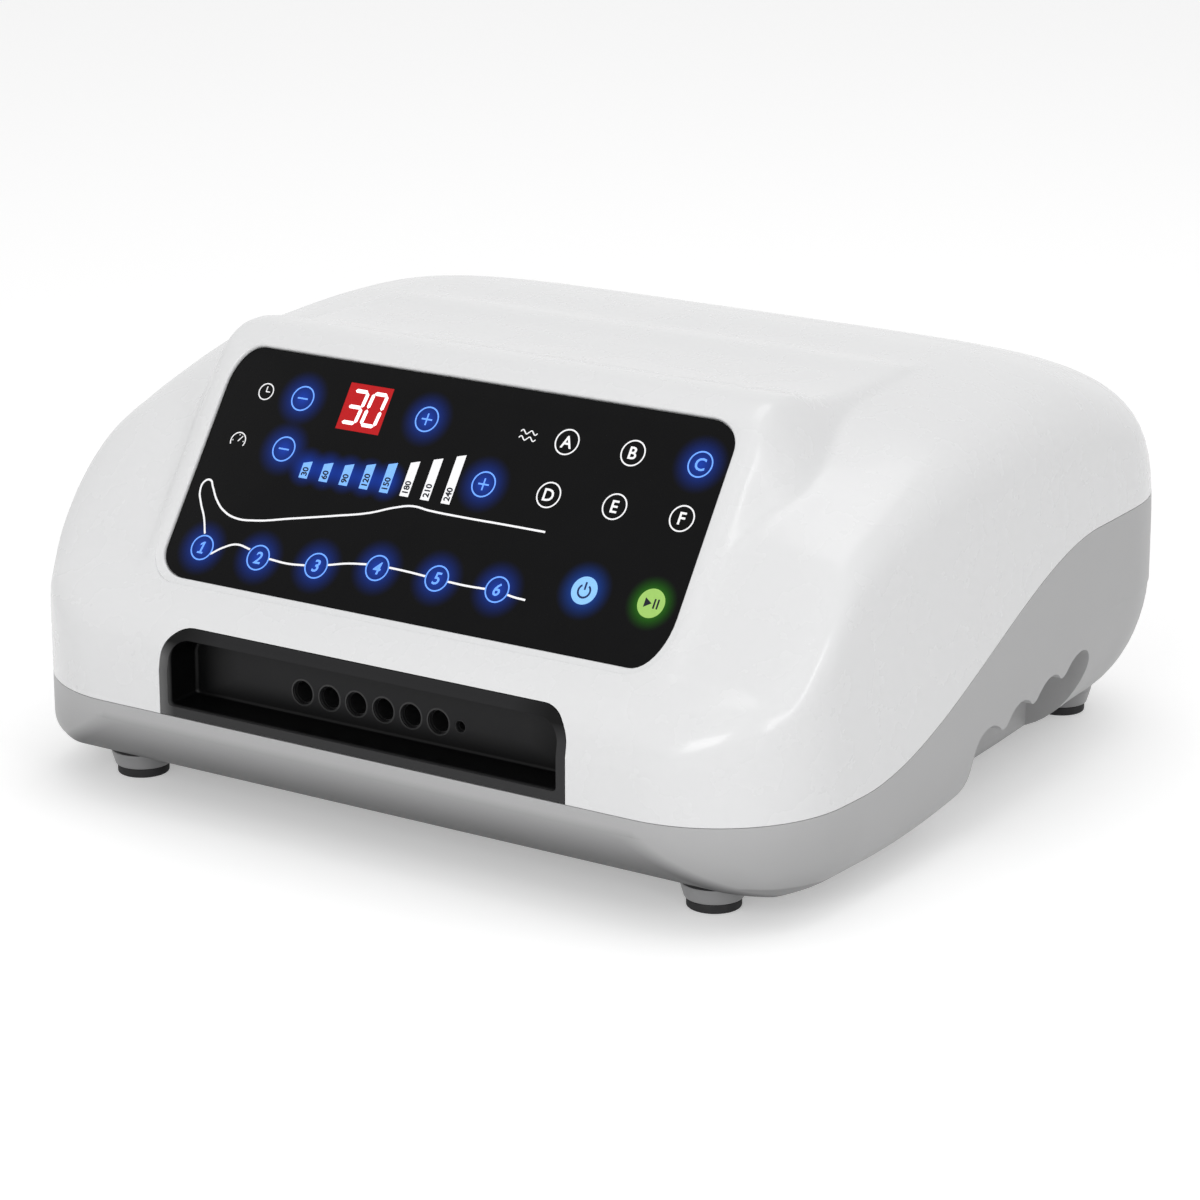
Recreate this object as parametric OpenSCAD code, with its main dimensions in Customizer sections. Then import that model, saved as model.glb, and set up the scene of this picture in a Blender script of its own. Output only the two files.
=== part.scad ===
// Compression therapy pump: housing with a raised control console, six air outlets,
// a diaphragm pump and a rotary distributor valve. Millimetres, Z up.
// The origin is on the floor, below the middle of the housing. The front faces -Y.

/* [Housing] */
// Width of the housing where it is widest
housing_w = 343; // [339:1:347]
// Depth of the housing from front to back
housing_d = 335; // [332:1:339]
// Height of the dome behind the console, above the floor
dome_h = 158.8; // [157:0.2:161]
// Height of the underside above the floor
underside_z = 9.5; // [8.5:0.5:11]
// Wall thickness of both shells
shell_t = 2.6; // [2.4:0.1:3]
// Gap at the parting line between cover and base
parting_gap = 0.3; // [0.2:0.05:0.5]
// Height of the parting line at the front
seam_front_z = 39.3; // [38.8:0.1:39.8]
// Height of the parting line at the back
seam_back_z = 95; // [92:0.5:98]

/* [Console] */
// Width of the control panel
panel_w = 220; // [216:1:224]
// Length of the control panel along its slope
panel_l = 93; // [91:0.5:94]
// Thickness of the panel film
panel_t = 1.2; // [1:0.1:1.5]
// Slope of the panel from the horizontal
panel_tilt = 55; // [54:0.5:56]
// Height of the panel's lower edge above the floor
panel_low_z = 83.1; // [82.6:0.1:83.6]
// How far the rim stands proud of the panel
rim_proud = 1.2; // [1:0.1:1.5]
// Width of the rim beside the panel
rim_w = 7; // [6:0.5:8]
// Clearance between the panel's edge and its seat
panel_clear = 0.3; // [0.2:0.05:0.5]
// Diameter of a key
key_d = 10; // [9:0.5:11]
// Travel of a key
key_travel = 0.4; // [0.3:0.05:0.5]

/* [Air outlets] */
// Number of large air outlets
port_count = 6; // [4:1:6]
// Distance between neighbouring outlets
port_pitch = 12; // [11.8:0.1:12.4]
// Bore diameter of an outlet
port_d = 8; // [7:0.5:8.5]
// Bore diameter of the small pressure outlet
sense_port_d = 3.4; // [3:0.2:4]
// Height of the outlets above the floor
port_z = 53; // [52:0.5:54]
// Width of the outlet recess
tray_w = 177.6; // [174:1:181]
// Height of the top edge of the outlet recess above the floor
tray_top_z = 72; // [71:0.5:73]
// Wall thickness of the outlet recess
tray_t = 2; // [1.8:0.1:2.4]

/* [Feet and grips] */
// Diameter of a rubber foot
foot_d = 19.5; // [18:0.5:21]
// Distance from the middle plane to a foot
foot_x = 127.5; // [125:0.5:130]
// Distance from the front face to the front feet
foot_front = 34.9; // [34:0.5:37]
// Distance from the back face to the rear feet
foot_back = 41.7; // [40:0.5:44]
// Distance between neighbouring finger scallops of a grip
scallop_pitch = 24.5; // [24:0.1:25]
// Depth of a grip pocket inward from the widest point
grip_depth = 30; // [26:1:33]

/* [Pump] */
// Length of the armature rod
rod_l = 96; // [94:1:98]
// Diameter of the armature rod
rod_d = 8; // [7:0.5:9]
// Stroke of the armature to each side
pump_stroke = 2; // [1.5:0.25:2.5]
// Diameter of a diaphragm
diaphragm_d = 44; // [40:1:46]

/* [Valve and fan] */
// Width of the distributor disc's rim outside its ports
rotor_rim = 5; // [4:0.5:6]
// Diameter of the valve shaft
valve_shaft_d = 6; // [5:0.5:7]
// Side length of the fan
fan_w = 60; // [58:1:62]
// Diameter of the fan's axle
fan_axle_d = 5; // [4:0.5:6]
// Clearance between a shaft and its bore, on the radius
run_clear = 0.05; // [0.03:0.01:0.08]

/* [Hidden] */

half_d = housing_d / 2;
half_w = housing_w / 2;
big = 400;
eps = 0.01;

// Curves of the housing ------------------------------------------------------

// Smooth step from 0 at a to 1 at b
function smooth(a, b, x) = let(t = min(1, max(0, (x - a) / (b - a)))) t * t * (3 - 2 * t);
// Depth of a rounded edge of radius r at distance d from the end
function edge_drop(d, r) = let(e = min(r, max(0, d))) r - sqrt(max(0, r * r - pow(r - e, 2)));
function last(list) = list[len(list) - 1];
// Slope of a curve through points at point i
function knot_slope(c, i) =
    i == 0 ? (c[1][1] - c[0][1]) / (c[1][0] - c[0][0])
    : i == len(c) - 1 ? (c[i][1] - c[i - 1][1]) / (c[i][0] - c[i - 1][0])
    : let(h0 = c[i][0] - c[i - 1][0], h1 = c[i + 1][0] - c[i][0],
          d0 = (c[i][1] - c[i - 1][1]) / h0, d1 = (c[i + 1][1] - c[i][1]) / h1)
      (h1 * d0 + h0 * d1) / (h0 + h1);
function span_of(c, x, i = 0) = i >= len(c) - 2 || x < c[i + 1][0] ? i : span_of(c, x, i + 1);
// Smooth curve through the points c, read at x
function curve(c, x) =
    let(i = span_of(c, x), h = c[i + 1][0] - c[i][0], t = min(1, max(0, (x - c[i][0]) / h)),
        a = t * t * t, b = t * t)
    (2 * a - 3 * b + 1) * c[i][1] + (a - 2 * b + t) * h * knot_slope(c, i)
    + (3 * b - 2 * a) * c[i + 1][1] + (a - b) * h * knot_slope(c, i + 1);

// Top line of the housing: [share of half the depth, share of the dome's height]
top_line = [
    [-1, 0.353], [-0.991, 0.403], [-0.973, 0.441], [-0.949, 0.469], [-0.896, 0.507],
    [-0.842, 0.538], [-0.776, 0.62], [-0.716, 0.694], [-0.657, 0.766], [-0.597, 0.814],
    [-0.478, 0.868], [-0.358, 0.912], [-0.179, 0.965], [0, 0.986], [0.179, 1], [0.358, 0.999],
    [0.627, 0.938], [0.776, 0.887], [0.884, 0.802], [0.943, 0.711], [0.979, 0.603], [1, 0.45]];
bow = 5;            // how much narrower the ends are than the middle
front_corner = 50;  // plan radius of the front corners
back_corner = 66;   // plan radius of the back corners
scoop_r = 37;       // rounding under the front, between the corners
corner_r = 13;      // rounding under the corners
side_round = [42, 56];  // rounding under the sides towards the back, across and up
back_r = 24;        // rounding under the back
scoop_edge = [124, 150];
side_fade = [-95, 100];
waist_z = 60;

function plan_half(y, inset = 0) =
    half_w - inset - bow * pow(y / half_d, 2)
    - edge_drop(half_d - inset + y, front_corner - inset)
    - edge_drop(half_d - inset - y, back_corner - inset);
function top_z(y) = dome_h * curve(top_line, y / half_d);
// Wall thickness measured upright under the top line, thicker where the line is steep
function top_inset(y, inset) = inset * min(2.6, sqrt(1 + pow((top_z(y + 1) - top_z(y - 1)) / 2, 2)));
function waist(y) = min(waist_z, underside_z + (top_z(y) - underside_z) / 2);
// Fullness of the shoulders: boxy at the front, softer at the back
function fullness(y) = y < 0 ? 8 - 3.5 * y / half_d : 8 - 3.7 * y / half_d;
// Rounding under the side at y, across (k = 0) or up (k = 1)
function under_side(y, k) = corner_r + (side_round[k] - corner_r) * smooth(side_fade[0], side_fade[1], y);
// Height of the parting line
function seam_z(y) = seam_front_z + (seam_back_z - seam_front_z) * smooth(-105, 68, y);

// Console: a wedge that carries the panel -------------------------------------
panel_dy = panel_l * cos(panel_tilt);
panel_dz = panel_l * sin(panel_tilt);
panel_low_y = 26 - half_d;              // lower edge, behind the front face
panel_top_y = panel_low_y + panel_dy;
rim_rise = rim_proud / cos(panel_tilt);
crest_z = panel_low_z + panel_dz + rim_rise + 4.2;
console_half = panel_w / 2 + rim_w;
console_flank = 1.9;                    // drop of the console's flank per mm outward
console_line = [
    [panel_low_y - 3, panel_low_z + rim_rise - 3 * tan(panel_tilt)],
    [panel_low_y, panel_low_z + rim_rise],
    [panel_top_y - 8, panel_low_z + panel_dz + rim_rise - 8 * tan(panel_tilt)],
    [panel_top_y - 1, panel_low_z + panel_dz + rim_rise - tan(panel_tilt)],
    [panel_top_y + 6, crest_z - 1], [panel_top_y + 16, crest_z + 0.6],
    [panel_top_y + 26, crest_z - 0.6], [panel_top_y + 38, crest_z - 4.2],
    [panel_top_y + 55, crest_z - 6.4], [panel_top_y + 80, crest_z - 6.9],
    [panel_top_y + 110, crest_z - 8.5], [panel_top_y + 125, crest_z - 20]];
function console_z(x, y) =
    y < console_line[0][0] || y > last(console_line)[0] ? 0
    : curve(console_line, y) - console_flank * max(0, abs(x) - console_half);

// Shares of the side and of the last stretch of the top where a ring has its points
side_share = [0.955, 0.87, 0.72, 0.46, 0.13];
outer_share = [0.4, 0.7, 0.88, 1];
arc_steps = 6;
// Share of the half width, and of the height, where the shoulder's side takes over from its top
function shoulder_turn(y) = pow(0.5, 1 / fullness(y));

function shoulder_z(y, s, inset) =
    waist(y) + (top_z(y) - top_inset(y, inset) - waist(y)) * pow(1 - pow(s, fullness(y)), 1 / fullness(y));
function console_top(x, y, inset) = console_z(x, y) - 1.75 * inset;
// Foot of the console's flank, where it meets the shoulder
function flank_foot(y, w, inset, lo, hi, n = 0) = n > 11 ? lo : let(m = (lo + hi) / 2)
    console_top(m, y, inset) > shoulder_z(y, m / w, inset)
        ? flank_foot(y, w, inset, m, hi, n + 1) : flank_foot(y, w, inset, lo, m, n + 1);
// Places across the top: the console's edge, the foot of its flank and the shoulder
function top_places(y, w, inset) =
    let(edge = min(console_half, 0.7 * w), end = shoulder_turn(y) * w,
        foot = max(edge + 2, flank_foot(y, w, inset, edge, end)))
    concat([0, 0.43 * edge, 0.83 * edge, edge - 3, edge, (edge + foot) / 2, foot],
        [for (s = outer_share) foot + s * (end - foot)]);
function shoulder_x(y, s) = pow(1 - pow(s, fullness(y)), 1 / fullness(y));
function floor_z(x, y, inset) =
    underside_z + inset
    + edge_drop(half_d + y, scoop_r + (corner_r - scoop_r) * smooth(scoop_edge[0], scoop_edge[1], x))
    + edge_drop(half_d - y, back_r);
// Right half of a ring at station y, from the middle of the floor up to the middle of the top
function half_ring(y, inset) =
    let(w = plan_half(y, inset), r = under_side(y, 0), wz = waist(y), flat = w - r,
        top = top_places(y, w, inset),
        roof = top_z(y) - top_inset(y, inset))
    concat(
        [for (s = [0, 0.45, 0.85, 1]) [s * flat, y, min(wz, floor_z(s * flat, y, inset))]],
        [for (i = [1 : arc_steps]) let(a = 90 * i / arc_steps, x = flat + r * sin(a),
            f = floor_z(x, y, inset), lift = under_side(y, 1) * (1 - cos(a)) * (1 - (f - underside_z) / wz))
            [x, y, min(wz, f + lift)]],
        [for (i = [len(side_share) - 1 : -1 : 0]) let(s = side_share[i] * shoulder_turn(y))
            [w * shoulder_x(y, s), y, wz + (roof - wz) * s]],
        [for (i = [len(top) - 1 : -1 : 0])
            [top[i], y, max(shoulder_z(y, top[i] / w, inset), console_top(top[i], y, inset))]]);
function whole_ring(y, inset) =
    let(h = half_ring(y, inset), n = len(h))
    concat(h, [for (i = [n - 2 : -1 : 1]) [-h[i][0], h[i][1], h[i][2]]]);

outer_stations = [
    -1, -0.998, -0.991, -0.977, -0.955, -0.925, -0.885, -0.863, -0.845, -0.81, -0.77, -0.73, -0.69,
    -0.65, -0.61, -0.57, -0.53, -0.5, -0.46, -0.41, -0.35, -0.28, -0.19, -0.08, 0.06, 0.22, 0.38,
    0.54, 0.66, 0.76, 0.84, 0.9, 0.94, 0.97, 0.989, 0.998, 1];
inner_stations = [
    -1, -0.985, -0.95, -0.9, -0.845, -0.77, -0.69, -0.61, -0.53, -0.46, -0.35, -0.2, 0,
    0.25, 0.5, 0.66, 0.78, 0.87, 0.93, 0.97, 0.99, 1];

// Solid between rings at the given shares of half the depth
module ring_loft(stations, inset) {
    span = half_d - inset;
    rings = [for (s = stations) whole_ring(s * span, inset)];
    n = len(rings[0]);
    m = len(rings);
    points = [for (r = rings) for (p = r) p];
    walls = [for (i = [0 : m - 2]) for (j = [0 : n - 1])
        let(a = i * n + j, b = i * n + (j + 1) % n, c = a + n, d = b + n)
        each [[a, b, c], [b, d, c]]];
    front = [[for (j = [n - 1 : -1 : 0]) j]];
    back = [[for (j = [0 : n - 1]) (m - 1) * n + j]];
    polyhedron(points, concat(walls, front, back), convexity = 6);
}
module envelope() ring_loft(outer_stations, 0);
module cavity() ring_loft(inner_stations, shell_t);

// Prism along X whose outline is drawn in Y and Z
module along_x(x0, x1) translate([x0, 0, 0]) rotate([90, 0, 90]) linear_extrude(x1 - x0) children();
// Prism along Y whose outline is drawn in X and Z
module along_y(y0, y1) translate([0, y1, 0]) rotate([90, 0, 0]) linear_extrude(y1 - y0) children();
module rod_x(x0, x1, r) translate([x0, 0, 0]) rotate([0, 90, 0]) cylinder(r = r, h = x1 - x0, $fn = 32);
module rod_y(y0, y1, r) translate([0, y1, 0]) rotate([90, 0, 0]) cylinder(r = r, h = y1 - y0, $fn = 32);
module block(x0, x1, y0, y1, z0, z1) translate([x0, y0, z0]) cube([x1 - x0, y1 - y0, z1 - z0]);

module below_seam(gap) along_x(-big, big)
    polygon(concat(
        [for (s = [-1.2 : 0.05 : 0.5]) [s * half_d, seam_z(s * half_d) - gap]],
        [[1.2 * half_d, seam_back_z - gap], [1.2 * half_d, -big], [-1.2 * half_d, -big]]));

// Control panel -----------------------------------------------------------------
// Radii of the panel's corners, across and up the slope: lower left, lower right, upper right, upper left
panel_corners = [[12, 11], [12, 20], [12, 11], [11, 17]];
corner_steps = 7;
seat_ledge = [4, 6];     // ledge that carries the film, at the sides and at top and bottom
frame_t = 2.5;           // thickness of the frame round the window
board_t = 1.6;
board_drop = panel_t + 7;    // face of the panel board below the panel's face
film_gap = 0.3;
cap_t = 1.2;             // thickness of a key's head
stem_r = 1.7;
switch_w = 6;
switch_h = 3.4;
window_w = 19.5;
window_h = 18.5;
// Rows of keys, counted down from the panel's upper edge
top_row = panel_l - 17.3;
second_row = panel_l - 37.7;
window_at = [-45.9, top_row];
post_r = 3;
post_x = panel_w / 2 - seat_ledge[0] + post_r + 0.5;
post_v = [20, panel_l / 2, panel_l - 20];

// Panel's own frame: X across, Y up the slope, Z out of the face
module at_panel() translate([0, panel_low_y, panel_low_z]) rotate([panel_tilt, 0, 0]) children();
module panel_outline(grow) {
    corners = [[-1, 0], [1, 0], [1, 1], [-1, 1]];
    polygon([for (k = [0 : 3]) for (i = [0 : corner_steps])
        let(r = panel_corners[k], a = 180 + 90 * k + 90 * i / corner_steps, c = corners[k])
        [c[0] * (panel_w / 2 - r[0]) + (r[0] + grow) * cos(a),
         (c[1] == 0 ? r[1] : panel_l - r[1]) + (r[1] + grow) * sin(a)]]);
}
module panel_window() translate([-panel_w / 2 + seat_ledge[0], seat_ledge[1]])
    square([panel_w - 2 * seat_ledge[0], panel_l - 2 * seat_ledge[1]]);
module panel_posts(r, n = 24) for (x = [-post_x, post_x], v = post_v)
    translate([x, v, 0]) circle(r = r, $fn = n);
module window_area(grow) translate(window_at)
    square([window_w + 2 * grow, window_h + 2 * grow], center = true);

// Places of the keys on the panel
time_keys = [[-74.3, top_row], [-17.8, top_row]];
pressure_keys = [[-74.5, second_row], [15.3, second_row]];
mode_first = [43.2, top_row];
mode_pitch = [27.8, top_row - second_row];
function mode_at(col, row) = [mode_first[0] + col * mode_pitch[0], mode_first[1] - row * mode_pitch[1]];
power_at = [70.5, 23.8];
play_at = [98.1, 23.8];
position_x = -94.4;
position_pitch = 26.04;
position_rise = [12.6, 12.9, 14.1, 17.6, 18, 18.2];
function position_at(i) = [position_x + i * position_pitch, position_rise[i]];
key_places = concat(time_keys, pressure_keys, [for (row = [0, 1], col = [0 : 2]) mode_at(col, row)],
    [power_at, play_at], [for (i = [0 : 5]) position_at(i)]);
cap_top = -panel_t - film_gap;
switch_top = -board_drop + switch_h;
stem_end = -board_drop + 1.4;

module key(place) at_panel() translate([place[0], place[1], 0]) {
    translate([0, 0, cap_top - cap_t]) cylinder(d = key_d, h = cap_t, $fn = 32);
    translate([0, 0, stem_end]) cylinder(r = stem_r, h = cap_top - cap_t - stem_end + eps, $fn = 32);
}

// Outlet recess and outlets -----------------------------------------------------
tray_back_y = 15 - half_d;
tray_low_z = seam_front_z + 0.3;
tray_corner = 12;
tray_rim = 3.5;
tray_draft = 5;
tray_step = 9;          // how far the recess is bored back behind the rim's front
port_mid_x = -4.9;
sense_gap = 9.5;
port_first_x = port_mid_x - (port_count - 1) * port_pitch / 2;
port_xs = [for (i = [0 : port_count - 1]) port_first_x + i * port_pitch];
sense_x = last(port_xs) + sense_gap;
block_l = 14;            // block and nipple plate together
nipple_plate_t = 2;
face_side = 7;           // half the height of the block's face, and its end beyond the first outlet
face_end = 5;            // from the small outlet to the other end of the face
face_sink = 0.1;         // face behind the recess's back wall
mouth_step = 0.5;        // wider mouth of each outlet, through the back wall
block_y = tray_back_y + tray_t;
barb_l = 10;
barb_r = 3.5;
barb_bore_r = 2;
hose_t = 1.4;
hose_r = barb_r + run_clear;

module tray_outline(grow, low) {
    w = tray_w / 2 + grow;
    r = tray_corner + grow;
    top = tray_top_z + grow;
    polygon(concat([[-w, low], [w, low]],
        [for (i = [0 : 6]) [w - r + r * cos(15 * i), top - r + r * sin(15 * i)]],
        [for (i = [0 : 6]) [-w + r - r * sin(15 * i), top - r + r * cos(15 * i)]]));
}
// Region behind the housing's front face, as far as the front face is straight along X
module front_profile() polygon(concat([[20 - half_d, 0], [-half_d, 0]],
    [for (s = [-1, -0.998, -0.991, -0.977, -0.955, -0.925]) [s * half_d, top_z(s * half_d)]],
    [[20 - half_d, top_z(20 - half_d)]]));
// Hollow of the recess, drafted towards its back wall
module tray_hollow(grow) hull() {
    along_y(-half_d - 5, -half_d + 1) tray_outline(grow - tray_rim, tray_low_z + tray_rim - grow);
    along_y(tray_back_y - 1, tray_back_y + max(0, grow)) translate([0, 1])
        tray_outline(grow - tray_rim - tray_draft, tray_low_z + tray_rim + 1 - grow);
}

// Feet ----------------------------------------------------------------------------
foot_spots = [for (x = [-foot_x, foot_x], y = [foot_front - half_d, half_d - foot_back]) [x, y]];
rubber_h = 3.6;
cup_top_d = foot_d + 5;
cup_low_d = foot_d + 1.5;
foot_screw_r = 1.75;
foot_head_r = 3.5;
foot_head_h = 2;
foot_boss_r = 5;
foot_pad_h = 9;          // pad that carries the cup where the underside curves up
foot_boss_top = underside_z + shell_t + 8;
floor_top = underside_z + shell_t;

// Columns that hold cover and base together
column_spots = [for (x = [-124, 124], y = [55 - half_d, half_d - 52]) [x, y]];
column_r = 5;
column_bore_r = 1.7;
column_head_r = 3.2;
column_floor = underside_z + 12;
function column_split(y) = seam_z(y) - 6;

// Finger grips ---------------------------------------------------------------------
scallop_count = 4;
scallop_first_y = -15.5;
scallop_r = 12.6;
scallop_z = 27.5;
scallop_rise = 3;        // how much higher each scallop lies than the one before it
pocket_wall = 2.4;
pocket_x = half_w - grip_depth;
finger_r = 4;            // rounding between two scallops
module grip_outline(grow) offset(r = -finger_r) offset(r = finger_r) {
    for (i = [0 : scallop_count - 1]) hull() {
        translate([scallop_first_y + i * scallop_pitch, scallop_z + i * scallop_rise])
            circle(r = scallop_r + grow, $fn = 28);
        translate([scallop_first_y + i * scallop_pitch, -20]) circle(r = scallop_r - 3 + grow, $fn = 8);
    }
}

// Rear panel -----------------------------------------------------------------------
rear_sink = 2.4;         // depth of the sunk field that carries inlet, switch and fuse
rear_field = [36, 108];  // from and to, across
rear_field_z = [37, 67];
rear_face = half_d - rear_sink;
rear_back = rear_face - 4;
rear_mid_z = 52;
inlet_x = 72;
inlet_flange = [32, 26];
inlet_body = [27.4, 20.4];
inlet_hole = [24, 16];
flange_t = 2;
inlet_depth = 22;
inlet_bore = 16;
pin_size = [4, 14, 2];
switch_x = 46;          // clear of every outlet's axis
switch_flange = [15, 24];
switch_body = [12.6, 20.6];
switch_hole = [10.6, 18];
rocker_size = [10, 17];
rocker_pin_r = 1.2;
rocker_tilt = 8;
rocker_axis_y = rear_face - 2.5;
fuse_x = 98;
fuse_r = 5.8;
fuse_flange_r = 7.5;
fuse_hole_r = 4.2;
cutout_clear = 0.2;
vent_count = 7;
vent_pitch = 7;
vent_w = 44;
vent_r = 1.6;

// Fan --------------------------------------------------------------------------------
fan_x = -50;
fan_t = 15;
fan_back_y = half_d - shell_t - 2.6;
fan_low_z = underside_z + 16;
fan_mid_z = fan_low_z + fan_w / 2;
fan_wall = 1.6;
fan_hub_r = 12;
blade_count = 7;

// Boards and supply --------------------------------------------------------------------
board_w = 74;
board_side = 33.5;       // from the board's edge to the housing's widest point
board_x = [half_w - board_side - board_w, half_w - board_side];
board_y = [-92, -10];
board_stand = 7;
main_board_z = floor_top + board_stand;
board_boss_r = 3.5;
board_screw_r = 1.4;
board_inset = 5;
board_spots = [for (x = [board_x[0] + board_inset, board_x[1] - board_inset],
    y = [board_y[0] + board_inset, board_y[1] - board_inset]) [x, y]];
core_size = [66, 34, 55];
coil_over = 9;
lug_l = 9;
core_clear = 7.1;        // between the lugs and the grip's liner
core_at = [core_clear + lug_l + core_size[0] / 2 + pocket_wall - pocket_x, 40];

// Diaphragm pump -------------------------------------------------------------------------
mount_h = 8;
mount_r = 6;
pump_plate_t = 4;
plate_half = [31, 24];
pump_plate_z = floor_top + mount_h;
diaphragm_t = 2;
head_gap = 2;            // free ring round a diaphragm
head_wall = 4;
head_r = diaphragm_d / 2 + head_gap + head_wall;
rod_z = pump_plate_z + pump_plate_t + head_r + 1;
head_x = plate_half[0] + 1;
head_l = rod_l / 2 + pump_stroke + 0.8 - head_x;
end_t = 6;
pump_clear = 12.3;       // between the pump's end and the grip's liner
pump_at = [pocket_x - pocket_wall - pump_clear - end_t - head_l - head_x, 58];
pole_gap = 0.8;
magnet = [16, 15, 20];
pole = [30, 14, 30];
coil_t = 5;
spigot_r = 3.4;
spigot_l = 8;
screw_m_r = 1.4;

// Distributor valve ------------------------------------------------------------------------
port_circle_r = (port_count - 1) * port_pitch / 2 + 1;
rotor_r = port_circle_r + rotor_rim;
rotor_t = 5;
rotor_gap = 0.3;
valve_margin = 5;
valve_half = rotor_r + valve_margin;
valve_x = port_mid_x;
valve_y = -60;
valve_low_z = port_z - 9;
valve_top_z = port_z + 10;
chamber_z = valve_top_z - rotor_t - 2 * rotor_gap;
cap_plate_t = 4;
valve_motor_r = 24;
valve_motor_h = 18;
motor_post_h = 8;
motor_z = valve_top_z + cap_plate_t + motor_post_h;
valve_front_y = valve_y - valve_half;
valve_barb_y = valve_front_y - barb_l;
valve_leg = 8;
inlet_spigots = [[valve_half - 8, valve_half - 8], [valve_half - 8, 8 - valve_half]];

// Shells -----------------------------------------------------------------------------------
module tray_seat() along_y(-half_d - 20, tray_back_y + tray_t + 0.5) tray_outline(panel_clear, -big);
// Screw column of the cover, tied to the side wall by a rib
module cover_columns() for (p = column_spots) hull() {
    translate([p[0], p[1], column_split(p[1]) + parting_gap]) cylinder(r = column_r, h = big / 2, $fn = 16);
    translate([p[0] * 1.36 - 1, p[1] - 1, column_split(p[1]) + parting_gap]) cube([2, 2, big / 2]);
}
module base_columns() for (p = column_spots)
    translate([p[0], p[1], 1]) cylinder(r = column_r, h = column_split(p[1]) - 1, $fn = 16);
// Post of the panel board, tied to the frame round the window by a rib
module panel_post(x, v) hull() {
    translate([x, v, 0]) cylinder(r = post_r, h = board_drop + 0.5, $fn = 16);
    translate([x + sign(x) * 5, v - 0.8, 3]) cube([1.6, 1.6, board_drop - 2.5]);
}
module panel_frame() at_panel() {
    translate([0, 0, -panel_t - frame_t]) linear_extrude(frame_t + 3) panel_outline(4);
    translate([0, 0, -board_drop]) for (x = [-post_x, post_x], v = post_v) panel_post(x, v);
}

module top_cover() color("white") difference() {
    envelope();
    difference() {
        cavity();
        panel_frame();
        cover_columns();
    }
    difference() {
        below_seam(-parting_gap / 2);
        for (p = column_spots) translate([p[0], p[1], column_split(p[1]) + parting_gap])
            cylinder(r = column_r, h = big, $fn = 16);
    }
    at_panel() translate([0, 0, -panel_t]) linear_extrude(30) panel_outline(panel_clear);
    at_panel() translate([0, 0, -panel_t - frame_t - 30]) linear_extrude(60) intersection() {
        panel_window();
        panel_outline(-seat_ledge[0]);
    }
    at_panel() translate([0, 0, -board_drop - 1]) linear_extrude(board_drop - panel_t - 0.6)
        panel_posts(screw_m_r, 12);
    tray_seat();
    for (p = column_spots) translate([p[0], p[1], column_split(p[1]) - 1])
        cylinder(r = column_bore_r, h = 22, $fn = 12);
}

module pocket_form(side, grow) scale([side, 1, 1]) along_x(pocket_x - grow, big) grip_outline(grow);
module vents() for (i = [0 : vent_count - 1]) hull() for (s = [-1, 1])
    translate([fan_x + s * vent_w / 2, half_d + 5, fan_mid_z + (i - (vent_count - 1) / 2) * vent_pitch])
        rotate([90, 0, 0]) cylinder(r = vent_r, h = 20, $fn = 12);
module pillar(p, r, top) translate([p[0], p[1], 1]) cylinder(r = r, h = top - 1, $fn = 16);
module floor_bosses() {
    for (p = foot_spots) pillar(p, foot_boss_r, foot_boss_top);
    for (p = board_spots) pillar(p, board_boss_r, main_board_z);
    for (x = [-1, 1], y = [-1, 1])
        pillar([valve_x, valve_y] + [x, y] * (valve_half - valve_leg), 5, valve_low_z);
    for (s = [-1, 1]) block(fan_x + s * (fan_w / 2 - 4) - 4, fan_x + s * (fan_w / 2 - 4) + 4,
        fan_back_y - fan_t, fan_back_y, 1, fan_low_z);
}

module foot_pads() for (p = foot_spots) translate([p[0], p[1], underside_z])
    cylinder(d = cup_top_d, h = foot_pad_h, $fn = 24);

module base_shell() color("silver") difference() {
    union() {
        envelope();
        foot_pads();
    }
    difference() {
        cavity();
        floor_bosses();
        base_columns();
        for (side = [-1, 1]) pocket_form(side, pocket_wall);
        block(rear_field[0] - 3, rear_field[1] + 3, rear_back, half_d + 5,
            rear_field_z[0] - 3, rear_field_z[1] + 3);
    }
    difference() {
        translate([-big, -big, 0]) cube([2 * big, 2 * big, big]);
        below_seam(parting_gap / 2);
    }
    for (side = [-1, 1]) pocket_form(side, 0);
    block(rear_field[0], rear_field[1], rear_face, half_d + 5, rear_field_z[0], rear_field_z[1]);
    rear_cutouts();
    vents();
    for (p = foot_spots) pillar(p, foot_screw_r + 0.1, foot_boss_top + 1);
    for (p = board_spots) translate([0, 0, main_board_z - 6]) pillar(p, board_screw_r + 0.1, 8);
    for (p = column_spots) {
        pillar(p, column_bore_r + 0.2, big);
        pillar(p, column_head_r + 0.3, column_floor);
    }
}
module plate_yz(x, z, size, y0, y1) translate([x, y0, z]) translate([-size[0] / 2, 0, -size[1] / 2])
    cube([size[0], y1 - y0, size[1]]);
module rear_cutouts() {
    plate_yz(inlet_x, rear_mid_z, inlet_body + [1, 1] * 2 * cutout_clear, rear_back - 5, half_d);
    plate_yz(switch_x, rear_mid_z, switch_body + [1, 1] * 2 * cutout_clear, rear_back - 5, half_d);
    translate([fuse_x, 0, rear_mid_z]) rod_y(rear_back - 5, half_d, fuse_r + cutout_clear);
}

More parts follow.
